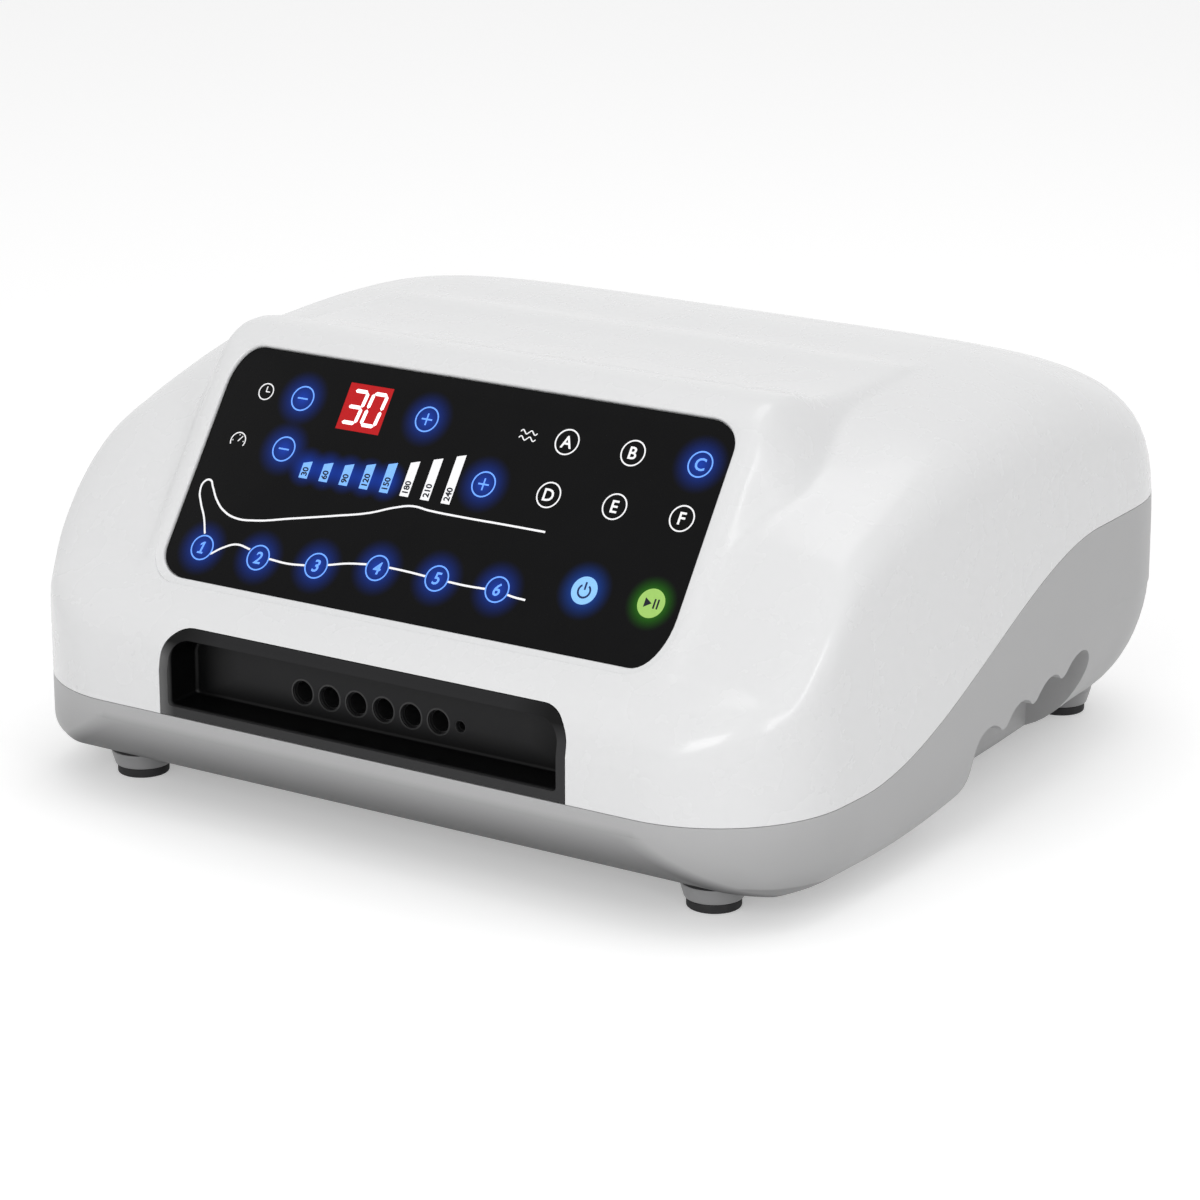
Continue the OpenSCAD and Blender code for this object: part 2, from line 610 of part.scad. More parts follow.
// Panel pieces --------------------------------------------------------------------------------
module panel_overlay() color("black") at_panel() translate([0, 0, -panel_t]) linear_extrude(panel_t)
    difference() {
        panel_outline(0);
        window_area(0);
    }
module display_window() color("red") at_panel() translate([0, 0, -panel_t]) linear_extrude(panel_t)
    window_area(0);
module display_module() color("darkred") at_panel() translate([0, 0, -board_drop])
    linear_extrude(board_drop - panel_t - film_gap) window_area(0.8);
module panel_board() color("green") at_panel() translate([0, 0, -board_drop - board_t])
    linear_extrude(board_t) difference() {
        translate([-post_x - post_r, seat_ledge[1] + 1])
            square([2 * (post_x + post_r), panel_l - 2 * seat_ledge[1] - 2]);
        panel_posts(screw_m_r);
    }
module panel_screws() color("silver") at_panel() for (x = [-post_x, post_x], v = post_v)
    translate([x, v, -board_drop - board_t]) {
        translate([0, 0, -1.8]) cylinder(r = 2.6, h = 1.8, $fn = 32);
        translate([0, 0, -eps]) cylinder(r = screw_m_r - 0.15, h = board_t + 4.5, $fn = 32);
    }
module key_switches() color("dimgray") for (p = key_places) at_panel()
    translate([p[0], p[1], -board_drop]) difference() {
        translate([-switch_w / 2, -switch_w / 2, 0]) cube([switch_w, switch_w, switch_h]);
        translate([0, 0, stem_end + board_drop - key_travel - 0.2])
            cylinder(r = stem_r + run_clear, h = switch_h, $fn = 32);
    }

// Outlet pieces ---------------------------------------------------------------------------------
module port_tray() color("dimgray") difference() {
    intersection() {
        along_x(-big, big) front_profile();
        union() {
            tray_hollow(tray_t);
            along_y(-half_d - 5, tray_step - half_d) tray_outline(0, tray_low_z);
        }
        translate([-big, -big, tray_low_z]) cube(2 * big);
    }
    tray_hollow(0);
    face_window(cutout_clear, -half_d, half_d);
}
module barb(x, y0, y1, outer, bore) translate([x, 0, port_z]) difference() {
    rod_y(y0, y1, outer);
    rod_y(y0 - 1, y1 + 1, bore);
}
// Slab of the outlet block between two depths
module block_slab(y0, y1) block(port_first_x - 9, sense_x + 6, y0, y1, port_z - 9, port_z + 9);
// Face of the block, keyed in the window of the recess's back wall
module face_window(grow, y0, y1) block(port_first_x - face_side - grow, sense_x + face_end + grow, y0, y1,
    port_z - face_side - grow, port_z + face_side + grow);
module port_block() color("gray") difference() {
    union() {
        block_slab(block_y, block_y + block_l - nipple_plate_t);
        face_window(0, tray_back_y + face_sink, block_y + 1);
    }
    for (x = port_xs) translate([x, 0, port_z]) rod_y(tray_back_y - 1, block_y, port_d / 2 + mouth_step);
    translate([sense_x, 0, port_z]) rod_y(tray_back_y - 1, block_y, sense_port_d / 2 + mouth_step);
    for (x = port_xs) translate([x, 0, port_z]) rod_y(block_y - 1, block_y + block_l, port_d / 2);
    translate([sense_x, 0, port_z]) rod_y(block_y - 1, block_y + block_l, sense_port_d / 2);
}
module port_nipples() color("gray") {
    difference() {
        block_slab(block_y + block_l - nipple_plate_t, block_y + block_l);
        for (x = port_xs) translate([x, 0, port_z]) rod_y(block_y, block_y + block_l + 1, barb_bore_r);
        translate([sense_x, 0, port_z]) rod_y(block_y, block_y + block_l + 1, 1);
    }
    for (x = port_xs) barb(x, block_y + block_l, block_y + block_l + barb_l, barb_r, barb_bore_r);
    barb(sense_x, block_y + block_l, block_y + block_l + barb_l, 2, 1);
}
module outlet_tubes() color("white", 0.6) for (x = port_xs)
    barb(x, block_y + block_l + 0.3, valve_front_y - 0.3, hose_r + hose_t, hose_r);

// Tube of radius r swept along a smooth curve through the points
sweep_rings = 18;
sweep_sides = 8;
function bezier(p, t) = let(n = len(p))
    n == 1 ? p[0] : bezier([for (i = [0 : n - 2]) p[i] * (1 - t) + p[i + 1] * t], t);
function unit(v) = v / norm(v);
module swept_tube(path, r) {
    pts = [for (i = [0 : sweep_rings]) bezier(path, i / sweep_rings)];
    dirs = [for (i = [0 : sweep_rings]) unit(pts[min(sweep_rings, i + 1)] - pts[max(0, i - 1)])];
    ring_points = [for (i = [0 : sweep_rings]) let(d = i == 0 ? unit(path[1] - path[0])
            : i == sweep_rings ? unit(last(path) - path[len(path) - 2]) : dirs[i],
            side = unit(cross(d, [0.31, 0.87, -0.38])), up = cross(side, d))
        for (k = [0 : sweep_sides - 1]) let(a = 360 * k / sweep_sides)
            pts[i] + r * (cos(a) * side + sin(a) * up)];
    walls = [for (i = [0 : sweep_rings - 1]) for (k = [0 : sweep_sides - 1])
        let(a = i * sweep_sides + k, b = i * sweep_sides + (k + 1) % sweep_sides,
            c = a + sweep_sides, d = b + sweep_sides)
        each [[a, b, c], [b, d, c]]];
    start = [[for (k = [sweep_sides - 1 : -1 : 0]) k]];
    end = [[for (k = [0 : sweep_sides - 1]) sweep_rings * sweep_sides + k]];
    polyhedron(ring_points, concat(walls, start, end), convexity = 4);
}
sensor_at = [board_x[0] + 14, board_y[0] + 16];
sensor_top = main_board_z + board_t + 8;
sense_end_y = block_y + block_l + barb_l;
module sensor_tube() color("white", 0.6) swept_tube([
    [sense_x, sense_end_y, port_z], [sense_x, sense_end_y + 14, port_z],
    [sense_x + 8, sense_end_y + 26, port_z + 6], [sensor_at[0] - 6, sensor_at[1] - 22, port_z + 10],
    [sensor_at[0], sensor_at[1], port_z + 4], [sensor_at[0], sensor_at[1], sensor_top]], 2);
spigot_tip_z = valve_top_z + cap_plate_t + spigot_l;
head_spigot_y = pump_at[1] - head_r - spigot_l;
head_mid_x = head_x + head_l / 2;
module supply_tubes() color("white", 0.6) for (k = [0, 1]) {
    sx = pump_at[0] + (2 * k - 1) * head_mid_x;
    goal = [valve_x + inlet_spigots[0][0], valve_y + (k == 0 ? 1 : -1) * inlet_spigots[0][1]];
    swept_tube([[sx, head_spigot_y, rod_z], [sx, head_spigot_y - 16, rod_z],
        [sx - 4, head_spigot_y - 28, rod_z + 30], [goal[0] + 8 + 12 * k, goal[1] + 10, spigot_tip_z + 34],
        [goal[0], goal[1], spigot_tip_z + 26], [goal[0], goal[1], spigot_tip_z]], spigot_r);
}

// Feet and screws --------------------------------------------------------------------------------
module at_feet() for (p = foot_spots) translate([p[0], p[1], 0]) children();
module foot_cups() color("gray") at_feet() difference() {
    translate([0, 0, rubber_h])
        cylinder(d1 = cup_low_d, d2 = cup_top_d, h = underside_z - rubber_h, $fn = 48);
    translate([0, 0, rubber_h - 1]) cylinder(r = foot_screw_r + 0.2, h = underside_z, $fn = 24);
    translate([0, 0, rubber_h - 1]) cylinder(r = foot_head_r + 0.3, h = 1 + foot_head_h + 0.2, $fn = 32);
}
module rubber_feet() color("black") at_feet() cylinder(d = foot_d, h = rubber_h, $fn = 48);
module foot_screws() color("silver") at_feet() {
    translate([0, 0, rubber_h + 0.2]) cylinder(r = foot_head_r, h = foot_head_h, $fn = 32);
    translate([0, 0, rubber_h + foot_head_h]) cylinder(r = foot_screw_r,
        h = foot_boss_top - 1.5 - rubber_h - foot_head_h, $fn = 32);
}
module cover_screws() color("silver") for (p = column_spots) translate([p[0], p[1], 0]) {
    translate([0, 0, column_floor - 2.5]) cylinder(r = column_head_r, h = 2.5, $fn = 32);
    translate([0, 0, column_floor - eps]) cylinder(r = column_bore_r - 0.1,
        h = column_split(p[1]) + 15 - column_floor, $fn = 32);
}

// Boards and supply --------------------------------------------------------------------------------
module main_board() color("green") difference() {
    union() {
        block(board_x[0], board_x[1], board_y[0], board_y[1], main_board_z, main_board_z + board_t);
        translate([sensor_at[0] - 6, sensor_at[1] - 6, main_board_z + board_t - eps]) cube([12, 12, 8 + eps]);
        block(ribbon_x - 1, ribbon_x + ribbon_w + 1, board_y[1] - 30, board_y[1] - 24,
            main_board_z, main_board_z + board_t + 6);
        for (i = [0 : 2]) translate([board_x[0] + 32 + 16 * i, board_y[0] + 24, main_board_z])
            cylinder(d = 12, h = 22, $fn = 32);
    }
    for (p = board_spots) translate([p[0], p[1], main_board_z - 1])
        cylinder(r = board_screw_r + 0.2, h = board_t + 2, $fn = 24);
}
module board_screws() color("silver") for (p = board_spots) translate([p[0], p[1], 0]) {
    translate([0, 0, main_board_z + board_t]) cylinder(r = 2.6, h = 1.8, $fn = 32);
    translate([0, 0, main_board_z - 5]) cylinder(r = board_screw_r, h = 5 + board_t + eps, $fn = 32);
}
module transformer() color("dimgray") translate([core_at[0], core_at[1], floor_top]) {
    block(-core_size[0] / 2, core_size[0] / 2, -core_size[1] / 2, core_size[1] / 2, 0, core_size[2]);
    block(-core_size[0] / 2 + 11, core_size[0] / 2 - 11, -core_size[1] / 2 - coil_over,
        core_size[1] / 2 + coil_over, 11, core_size[2] - 11);
    for (s = [-1, 1]) block(s * (core_size[0] / 2 + lug_l / 2) - lug_l / 2 - eps,
        s * (core_size[0] / 2 + lug_l / 2) + lug_l / 2 + eps, -8, 8, 0, 2);
}
ribbon_w = 16;
ribbon_t = 1;
ribbon_x = board_x[0] + 29;
ribbon_v = 30;           // where it leaves the panel board, up the slope
ribbon_start = [panel_low_y + ribbon_v * cos(panel_tilt) + (board_drop + board_t) * sin(panel_tilt),
    panel_low_z + ribbon_v * sin(panel_tilt) - (board_drop + board_t) * cos(panel_tilt)];
ribbon_end = [board_y[1] - 27, main_board_z + board_t + 6];
ribbon_path = [ribbon_start, ribbon_start + 18 * [sin(panel_tilt), -cos(panel_tilt)],
    [ribbon_end[0], ribbon_start[1] - 4], [ribbon_end[0], ribbon_end[1] + 24], ribbon_end];
module ribbon_cable() color("gray") {
    mid = [for (i = [0 : 14]) bezier(ribbon_path, i / 14)];
    off = [for (i = [0 : 14]) let(d = unit(mid[min(14, i + 1)] - mid[max(0, i - 1)]))
        [-d[1], d[0]] * ribbon_t / 2];
    along_x(ribbon_x, ribbon_x + ribbon_w)
        polygon(concat([for (i = [0 : 14]) mid[i] + off[i]], [for (i = [14 : -1 : 0]) mid[i] - off[i]]));
}

// Diaphragm pump: the armature rod slides along X ----------------------------------------------------
module at_pump() translate([pump_at[0], pump_at[1], 0]) children();
module pump_mounts() color("black") at_pump() for (x = [-1, 1], y = [-1, 1])
    translate([x * (plate_half[0] - 7), y * (plate_half[1] - 7), floor_top])
        cylinder(r = mount_r, h = mount_h, $fn = 32);
module pump_frame() color("silver") at_pump() difference() {
    union() {
        block(-plate_half[0], plate_half[0], -plate_half[1], plate_half[1],
            pump_plate_z, pump_plate_z + pump_plate_t);
        for (s = [-1, 1]) block(s * (head_x - end_t / 2) - end_t / 2, s * (head_x - end_t / 2) + end_t / 2,
            -plate_half[1], plate_half[1], pump_plate_z, rod_z + head_r - 4);
    }
    translate([0, 0, rod_z]) rod_x(-big, big, rod_d / 2 + run_clear);
}
module pump_core() color("dimgray") at_pump() for (s = [-1, 1]) scale([1, s, 1]) {
    block(-pole[0] / 2, pole[0] / 2, magnet[1] / 2 + pole_gap, plate_half[1] - 1,
        rod_z - pole[2] / 2, rod_z + pole[2] / 2);
    block(-pole[0] / 2, pole[0] / 2, plate_half[1] - 4, plate_half[1] - 1,
        pump_plate_z + pump_plate_t, rod_z + pole[2] / 2);
}
module pump_coils() color("peru") at_pump() for (s = [-1, 1]) scale([1, s, 1]) difference() {
    block(-pole[0] / 2 - coil_t, pole[0] / 2 + coil_t, magnet[1] / 2 + pole_gap + 1, plate_half[1] - 5,
        rod_z - pole[2] / 2 - coil_t, rod_z + pole[2] / 2 + coil_t);
    block(-pole[0] / 2 - 0.05, pole[0] / 2 + 0.05, 0, plate_half[1],
        rod_z - pole[2] / 2 - 0.05, rod_z + pole[2] / 2 + 0.05);
}
module pump_armature() color("silver") at_pump() translate([0, 0, rod_z]) {
    rod_x(-rod_l / 2, rod_l / 2, rod_d / 2);
    block(-magnet[0] / 2, magnet[0] / 2, -magnet[1] / 2, magnet[1] / 2, -magnet[2] / 2, magnet[2] / 2);
}
module pump_diaphragms() color("black") at_pump() translate([0, 0, rod_z]) for (s = [-1, 1]) scale([s, 1, 1])
    difference() {
        rod_x(rod_l / 2 - 6, rod_l / 2 - 6 + diaphragm_t, diaphragm_d / 2);
        rod_x(0, rod_l, rod_d / 2);
    }
module pump_heads() color("gray") at_pump() translate([0, 0, rod_z]) for (s = [-1, 1]) scale([s, 1, 1]) {
    difference() {
        rod_x(head_x, head_x + head_l + head_wall, head_r);
        rod_x(head_x - 1, head_x + head_l, head_r - head_wall);
    }
    translate([head_mid_x, 0, 0]) difference() {
        rod_y(-head_r - spigot_l, -head_r + head_wall - 1, spigot_r);
        rod_y(-head_r - spigot_l - 1, -head_r + head_wall, 1.6);
    }
}

// Distributor valve: the rotor turns about Z -----------------------------------------------------------
module at_valve() translate([valve_x, valve_y, 0]) children();
module valve_body() color("gray") {
    difference() {
        translate([valve_x - valve_half, valve_front_y, valve_low_z])
            cube([2 * valve_half, 2 * valve_half, valve_top_z - valve_low_z]);
        at_valve() translate([0, 0, chamber_z]) cylinder(r = rotor_r + 0.5, h = 20, $fn = 64);
        for (x = port_xs) let(dx = x - valve_x, reach = sqrt(max(0, pow(port_circle_r, 2) - dx * dx))) {
            translate([x, 0, port_z]) rod_y(valve_front_y - 1, valve_y - reach, barb_bore_r);
            translate([x, valve_y - reach, port_z]) cylinder(r = barb_bore_r, h = 20, $fn = 24);
        }
    }
    for (x = port_xs) barb(x, valve_barb_y, valve_front_y, barb_r, barb_bore_r);
}
module valve_rotor() color("gainsboro") at_valve() {
    difference() {
        translate([0, 0, chamber_z + rotor_gap]) cylinder(r = rotor_r, h = rotor_t, $fn = 64);
        translate([0, -port_circle_r, 0]) cylinder(r = barb_bore_r + 0.5, h = 100, $fn = 24);
        translate([0, port_circle_r - 4, chamber_z + 2]) cylinder(r = 6, h = 100, $fn = 32);
    }
    translate([0, 0, chamber_z + rotor_gap])
        cylinder(d = valve_shaft_d, h = motor_z + 8 - chamber_z - rotor_gap, $fn = 32);
}
module valve_cap() color("darkgray") at_valve() {
    difference() {
        translate([-valve_half, -valve_half, valve_top_z])
            cube([2 * valve_half, 2 * valve_half, cap_plate_t]);
        translate([0, 0, valve_top_z - 1]) cylinder(r = valve_shaft_d / 2 + run_clear, h = 10, $fn = 32);
        for (s = inlet_spigots) translate([s[0], s[1], valve_top_z - 1]) cylinder(r = 1.6, h = 10, $fn = 24);
    }
    for (s = inlet_spigots) translate([s[0], s[1], valve_top_z + cap_plate_t - eps]) difference() {
        cylinder(r = spigot_r, h = spigot_l + eps, $fn = 32);
        translate([0, 0, -1]) cylinder(r = 1.6, h = spigot_l + 2, $fn = 24);
    }
    for (a = [0, 120, 240]) rotate(a + 90) translate([valve_motor_r - 5, 0, valve_top_z + cap_plate_t - eps])
        cylinder(r = 3, h = motor_post_h + eps, $fn = 24);
}
module valve_motor() color("silver") at_valve() difference() {
    translate([0, 0, motor_z]) cylinder(r = valve_motor_r, h = valve_motor_h, $fn = 64);
    translate([0, 0, motor_z - 1]) cylinder(r = valve_shaft_d / 2 + run_clear, h = 10, $fn = 32);
}

// Rear pieces --------------------------------------------------------------------------------------------
module mains_inlet() color("black") {
    difference() {
        union() {
            plate_yz(inlet_x, rear_mid_z, inlet_flange, rear_face, rear_face + flange_t);
            plate_yz(inlet_x, rear_mid_z, inlet_body, rear_face - inlet_depth, rear_face + 0.1);
        }
        plate_yz(inlet_x, rear_mid_z, inlet_hole, rear_face + flange_t - inlet_bore, half_d + 1);
    }
    for (p = [[-7, -1.5], [0, 2.5], [7, -1.5]])
        plate_yz(inlet_x + p[0], rear_mid_z + p[1], [pin_size[2], pin_size[0]],
            rear_face + flange_t - inlet_bore - eps, rear_face + flange_t - inlet_bore + pin_size[1]);
}
module switch_frame() color("black") difference() {
    union() {
        plate_yz(switch_x, rear_mid_z, switch_flange, rear_face, rear_face + flange_t);
        plate_yz(switch_x, rear_mid_z, switch_body, rear_face - 16, rear_face + 0.1);
    }
    plate_yz(switch_x, rear_mid_z, switch_hole, rear_face - 12, half_d + 1);
    translate([0, rocker_axis_y, rear_mid_z]) rod_x(switch_x - 7, switch_x + 7, rocker_pin_r + run_clear);
}
module rocker() color("black") translate([0, rocker_axis_y, rear_mid_z]) rotate([rocker_tilt, 0, 0]) {
    half = rocker_size[1] / 2;
    along_x(switch_x - rocker_size[0] / 2, switch_x + rocker_size[0] / 2)
        polygon([[-4, -3], [-4, 3], [1.5, half - 0.8], [3.2, half - 0.8],
            [1.8, 0], [3.2, 0.8 - half], [1.5, 0.8 - half]]);
    rod_x(switch_x - 6.1, switch_x + 6.1, rocker_pin_r);
}
module fuse_holder() color("black") translate([fuse_x, 0, rear_mid_z]) difference() {
    union() {
        rod_y(rear_face, rear_face + flange_t, fuse_flange_r);
        rod_y(rear_face - 24, rear_face + 0.1, fuse_r);
    }
    rod_y(rear_face - 22, half_d + 1, fuse_hole_r);
}
module fuse_cap() color("black") translate([fuse_x, 0, rear_mid_z]) difference() {
    rod_y(rear_face - 20, rear_face + flange_t, fuse_hole_r - run_clear);
    translate([-3, rear_face + flange_t - 1.2, -0.6]) cube([6, 5, 1.2]);
}
module fan_frame() color("black") translate([fan_x, 0, fan_mid_z]) {
    difference() {
        plate_yz(0, 0, [fan_w, fan_w], fan_back_y - fan_t, fan_back_y);
        rod_y(fan_back_y - fan_t - 1, fan_back_y + 1, fan_w / 2 - fan_wall);
        for (x = [-1, 1], z = [-1, 1]) translate([x * (fan_w / 2 - 5), 0, z * (fan_w / 2 - 5)])
            rod_y(fan_back_y - fan_t - 1, fan_back_y + 1, 2.1);
    }
    rod_y(fan_back_y - fan_t, fan_back_y - fan_t + 2.5, fan_hub_r);
    rod_y(fan_back_y - fan_t + 2, fan_back_y - 2, fan_axle_d / 2);
    for (a = [45 : 90 : 315]) rotate([0, a, 0])
        block(fan_hub_r - 1, fan_w / 2 - fan_wall + 0.6,
            fan_back_y - fan_t, fan_back_y - fan_t + 2, -1.5, 1.5);
}
module fan_rotor() color("black") translate([fan_x, 0, fan_mid_z]) {
    difference() {
        union() {
            rod_y(fan_back_y - fan_t + 3, fan_back_y - 0.8, fan_hub_r + 0.5);
            for (i = [0 : blade_count - 1]) rotate([0, i * 360 / blade_count, 0])
                translate([fan_hub_r - 0.5, fan_back_y - fan_t / 2 + 1, 0]) rotate([40, 0, 0])
                        block(0, fan_w / 2 - fan_wall - 1 - fan_hub_r + 0.5, -0.6, 0.6, -6, 6);
        }
        rod_y(fan_back_y - fan_t, fan_back_y + 1, fan_axle_d / 2 + run_clear);
    }
}

// Keys ----------------------------------------------------------------------------------------------------
module key_time_minus() color("dodgerblue") key(time_keys[0]);
module key_time_plus() color("dodgerblue") key(time_keys[1]);
module key_pressure_minus() color("dodgerblue") key(pressure_keys[0]);
module key_pressure_plus() color("dodgerblue") key(pressure_keys[1]);
module key_mode_a() color("white") key(mode_at(0, 0));
module key_mode_b() color("white") key(mode_at(1, 0));
module key_mode_c() color("dodgerblue") key(mode_at(2, 0));
module key_mode_d() color("white") key(mode_at(0, 1));
module key_mode_e() color("white") key(mode_at(1, 1));
module key_mode_f() color("white") key(mode_at(2, 1));
module key_power() color("dodgerblue") key(power_at);
module key_play() color("limegreen") key(play_at);
module key_position_1() color("dodgerblue") key(position_at(0));
module key_position_2() color("dodgerblue") key(position_at(1));
module key_position_3() color("dodgerblue") key(position_at(2));
module key_position_4() color("dodgerblue") key(position_at(3));
module key_position_5() color("dodgerblue") key(position_at(4));
module key_position_6() color("dodgerblue") key(position_at(5));

top_cover();
base_shell();
panel_overlay();
display_window();
display_module();
panel_board();
panel_screws();
key_switches();
key_time_minus();
key_time_plus();
key_pressure_minus();
key_pressure_plus();
key_mode_a();
key_mode_b();
key_mode_c();
key_mode_d();
key_mode_e();
key_mode_f();
key_power();
key_play();
key_position_1();
key_position_2();
key_position_3();
key_position_4();
key_position_5();
key_position_6();
port_tray();
port_block();
port_nipples();
outlet_tubes();
sensor_tube();
supply_tubes();
foot_cups();
rubber_feet();
foot_screws();
cover_screws();
main_board();
board_screws();
transformer();
ribbon_cable();
pump_mounts();
pump_frame();
pump_core();
pump_coils();
pump_armature();
pump_diaphragms();
pump_heads();
valve_body();
valve_cap();
valve_rotor();
valve_motor();
mains_inlet();
switch_frame();
rocker();
fuse_holder();
fuse_cap();
fan_frame();
fan_rotor();
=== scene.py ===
"""Compression therapy pump: the looks of every piece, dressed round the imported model.

Sizes in the classes are millimetres, as on the product's drawings. MM turns them into metres.
"""
import logging
import math
from dataclasses import dataclass, field
from enum import Enum
from typing import Callable, Optional, Sequence

import bpy
from mathutils import Matrix, Vector


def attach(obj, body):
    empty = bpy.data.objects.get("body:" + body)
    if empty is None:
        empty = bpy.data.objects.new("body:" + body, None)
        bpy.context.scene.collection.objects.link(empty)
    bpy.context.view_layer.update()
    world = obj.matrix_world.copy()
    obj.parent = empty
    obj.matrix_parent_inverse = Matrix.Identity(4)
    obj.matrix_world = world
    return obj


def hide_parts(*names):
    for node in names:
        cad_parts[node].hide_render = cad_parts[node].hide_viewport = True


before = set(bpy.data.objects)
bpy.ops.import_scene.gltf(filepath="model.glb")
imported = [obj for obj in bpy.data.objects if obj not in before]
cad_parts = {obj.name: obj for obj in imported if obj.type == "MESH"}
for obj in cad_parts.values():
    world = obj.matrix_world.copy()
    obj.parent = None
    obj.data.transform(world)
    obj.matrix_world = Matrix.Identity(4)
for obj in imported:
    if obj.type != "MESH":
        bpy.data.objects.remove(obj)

MM = 0.001
HOUSING_BODY = "housing"
Point2 = tuple[float, float]
Point3 = tuple[float, float, float]
Colour = tuple[float, float, float]
log = logging.getLogger("therapy_pump")


class Cut(Enum):
    """What a cutter does to the piece that it meets."""

    AWAY = "DIFFERENCE"
    KEEP = "INTERSECT"
    JOIN = "UNION"


# Curves of the housing -------------------------------------------------------------


def smooth(low: float, high: float, x: float) -> float:
    """Smooth step from 0 at low to 1 at high.

    Args:
        low: Where the step starts.
        high: Where the step ends.
        x: The place that is asked for.

    Returns:
        A share between 0 and 1.
    """
    t = min(1.0, max(0.0, (x - low) / (high - low)))
    return t * t * (3.0 - 2.0 * t)


def edge_drop(distance: float, radius: float) -> float:
    """Drop of a rounded edge at a distance from its end.

    Args:
        distance: Distance inward from the end.
        radius: Radius of the edge.

    Returns:
        The drop below the flat.
    """
    e = min(radius, max(0.0, distance))
    return radius - math.sqrt(max(0.0, radius * radius - (radius - e) ** 2))


def soft_max(a: float, b: float, blend: float) -> float:
    """The larger of two heights, with a fillet where they meet."""
    return 0.5 * (a + b + math.sqrt((a - b) ** 2 + blend * blend))


def arc(at: Point2, r: float, start: float, sweep: float, steps: int, closed: bool = False) -> list[Point2]:
    """Points along a circle or a part of one.

    Args:
        at: Its centre.
        r: Its radius.
        start: Angle of the first point, in degrees.
        sweep: Angle that the points span, in degrees.
        steps: Steps between the points.
        closed: True to leave out the last point, which is the first one again.

    Returns:
        The points.
    """
    angles = [math.radians(start + sweep * i / steps) for i in range(steps if closed else steps + 1)]
    return [(at[0] + r * math.cos(a), at[1] + r * math.sin(a)) for a in angles]


def box_outline(at: Point2, w: float, h: float) -> list[Point2]:
    """Corners of a rectangle centred on a point."""
    (u, v), a, b = at, w / 2, h / 2
    return [(u - a, v - b), (u + a, v - b), (u + a, v + b), (u - a, v + b)]


@dataclass(frozen=True)
class Curve:
    """A smooth curve through points, straight beyond its ends."""

    points: tuple[Point2, ...]

    def slope(self, i: int) -> float:
        """Slope of the curve at point i."""
        c, last = self.points, len(self.points) - 1
        if i == 0 or i == last:
            a, b = (c[0], c[1]) if i == 0 else (c[-2], c[-1])
            return (b[1] - a[1]) / (b[0] - a[0])
        h0, h1 = c[i][0] - c[i - 1][0], c[i + 1][0] - c[i][0]
        d0, d1 = (c[i][1] - c[i - 1][1]) / h0, (c[i + 1][1] - c[i][1]) / h1
        return (h1 * d0 + h0 * d1) / (h0 + h1)

    def at(self, x: float) -> float:
        """Height of the curve at x."""
        c = self.points
        if x <= c[0][0]:
            return c[0][1] + (x - c[0][0]) * self.slope(0)
        if x >= c[-1][0]:
            return c[-1][1] + (x - c[-1][0]) * self.slope(len(c) - 1)
        i = max(k for k in range(len(c) - 1) if x >= c[k][0])
        h = c[i + 1][0] - c[i][0]
        t = (x - c[i][0]) / h
        a, b = t * t * t, t * t
        return (
            (2 * a - 3 * b + 1) * c[i][1]
            + (a - 2 * b + t) * h * self.slope(i)
            + (3 * b - 2 * a) * c[i + 1][1]
            + (a - b) * h * self.slope(i + 1)
        )


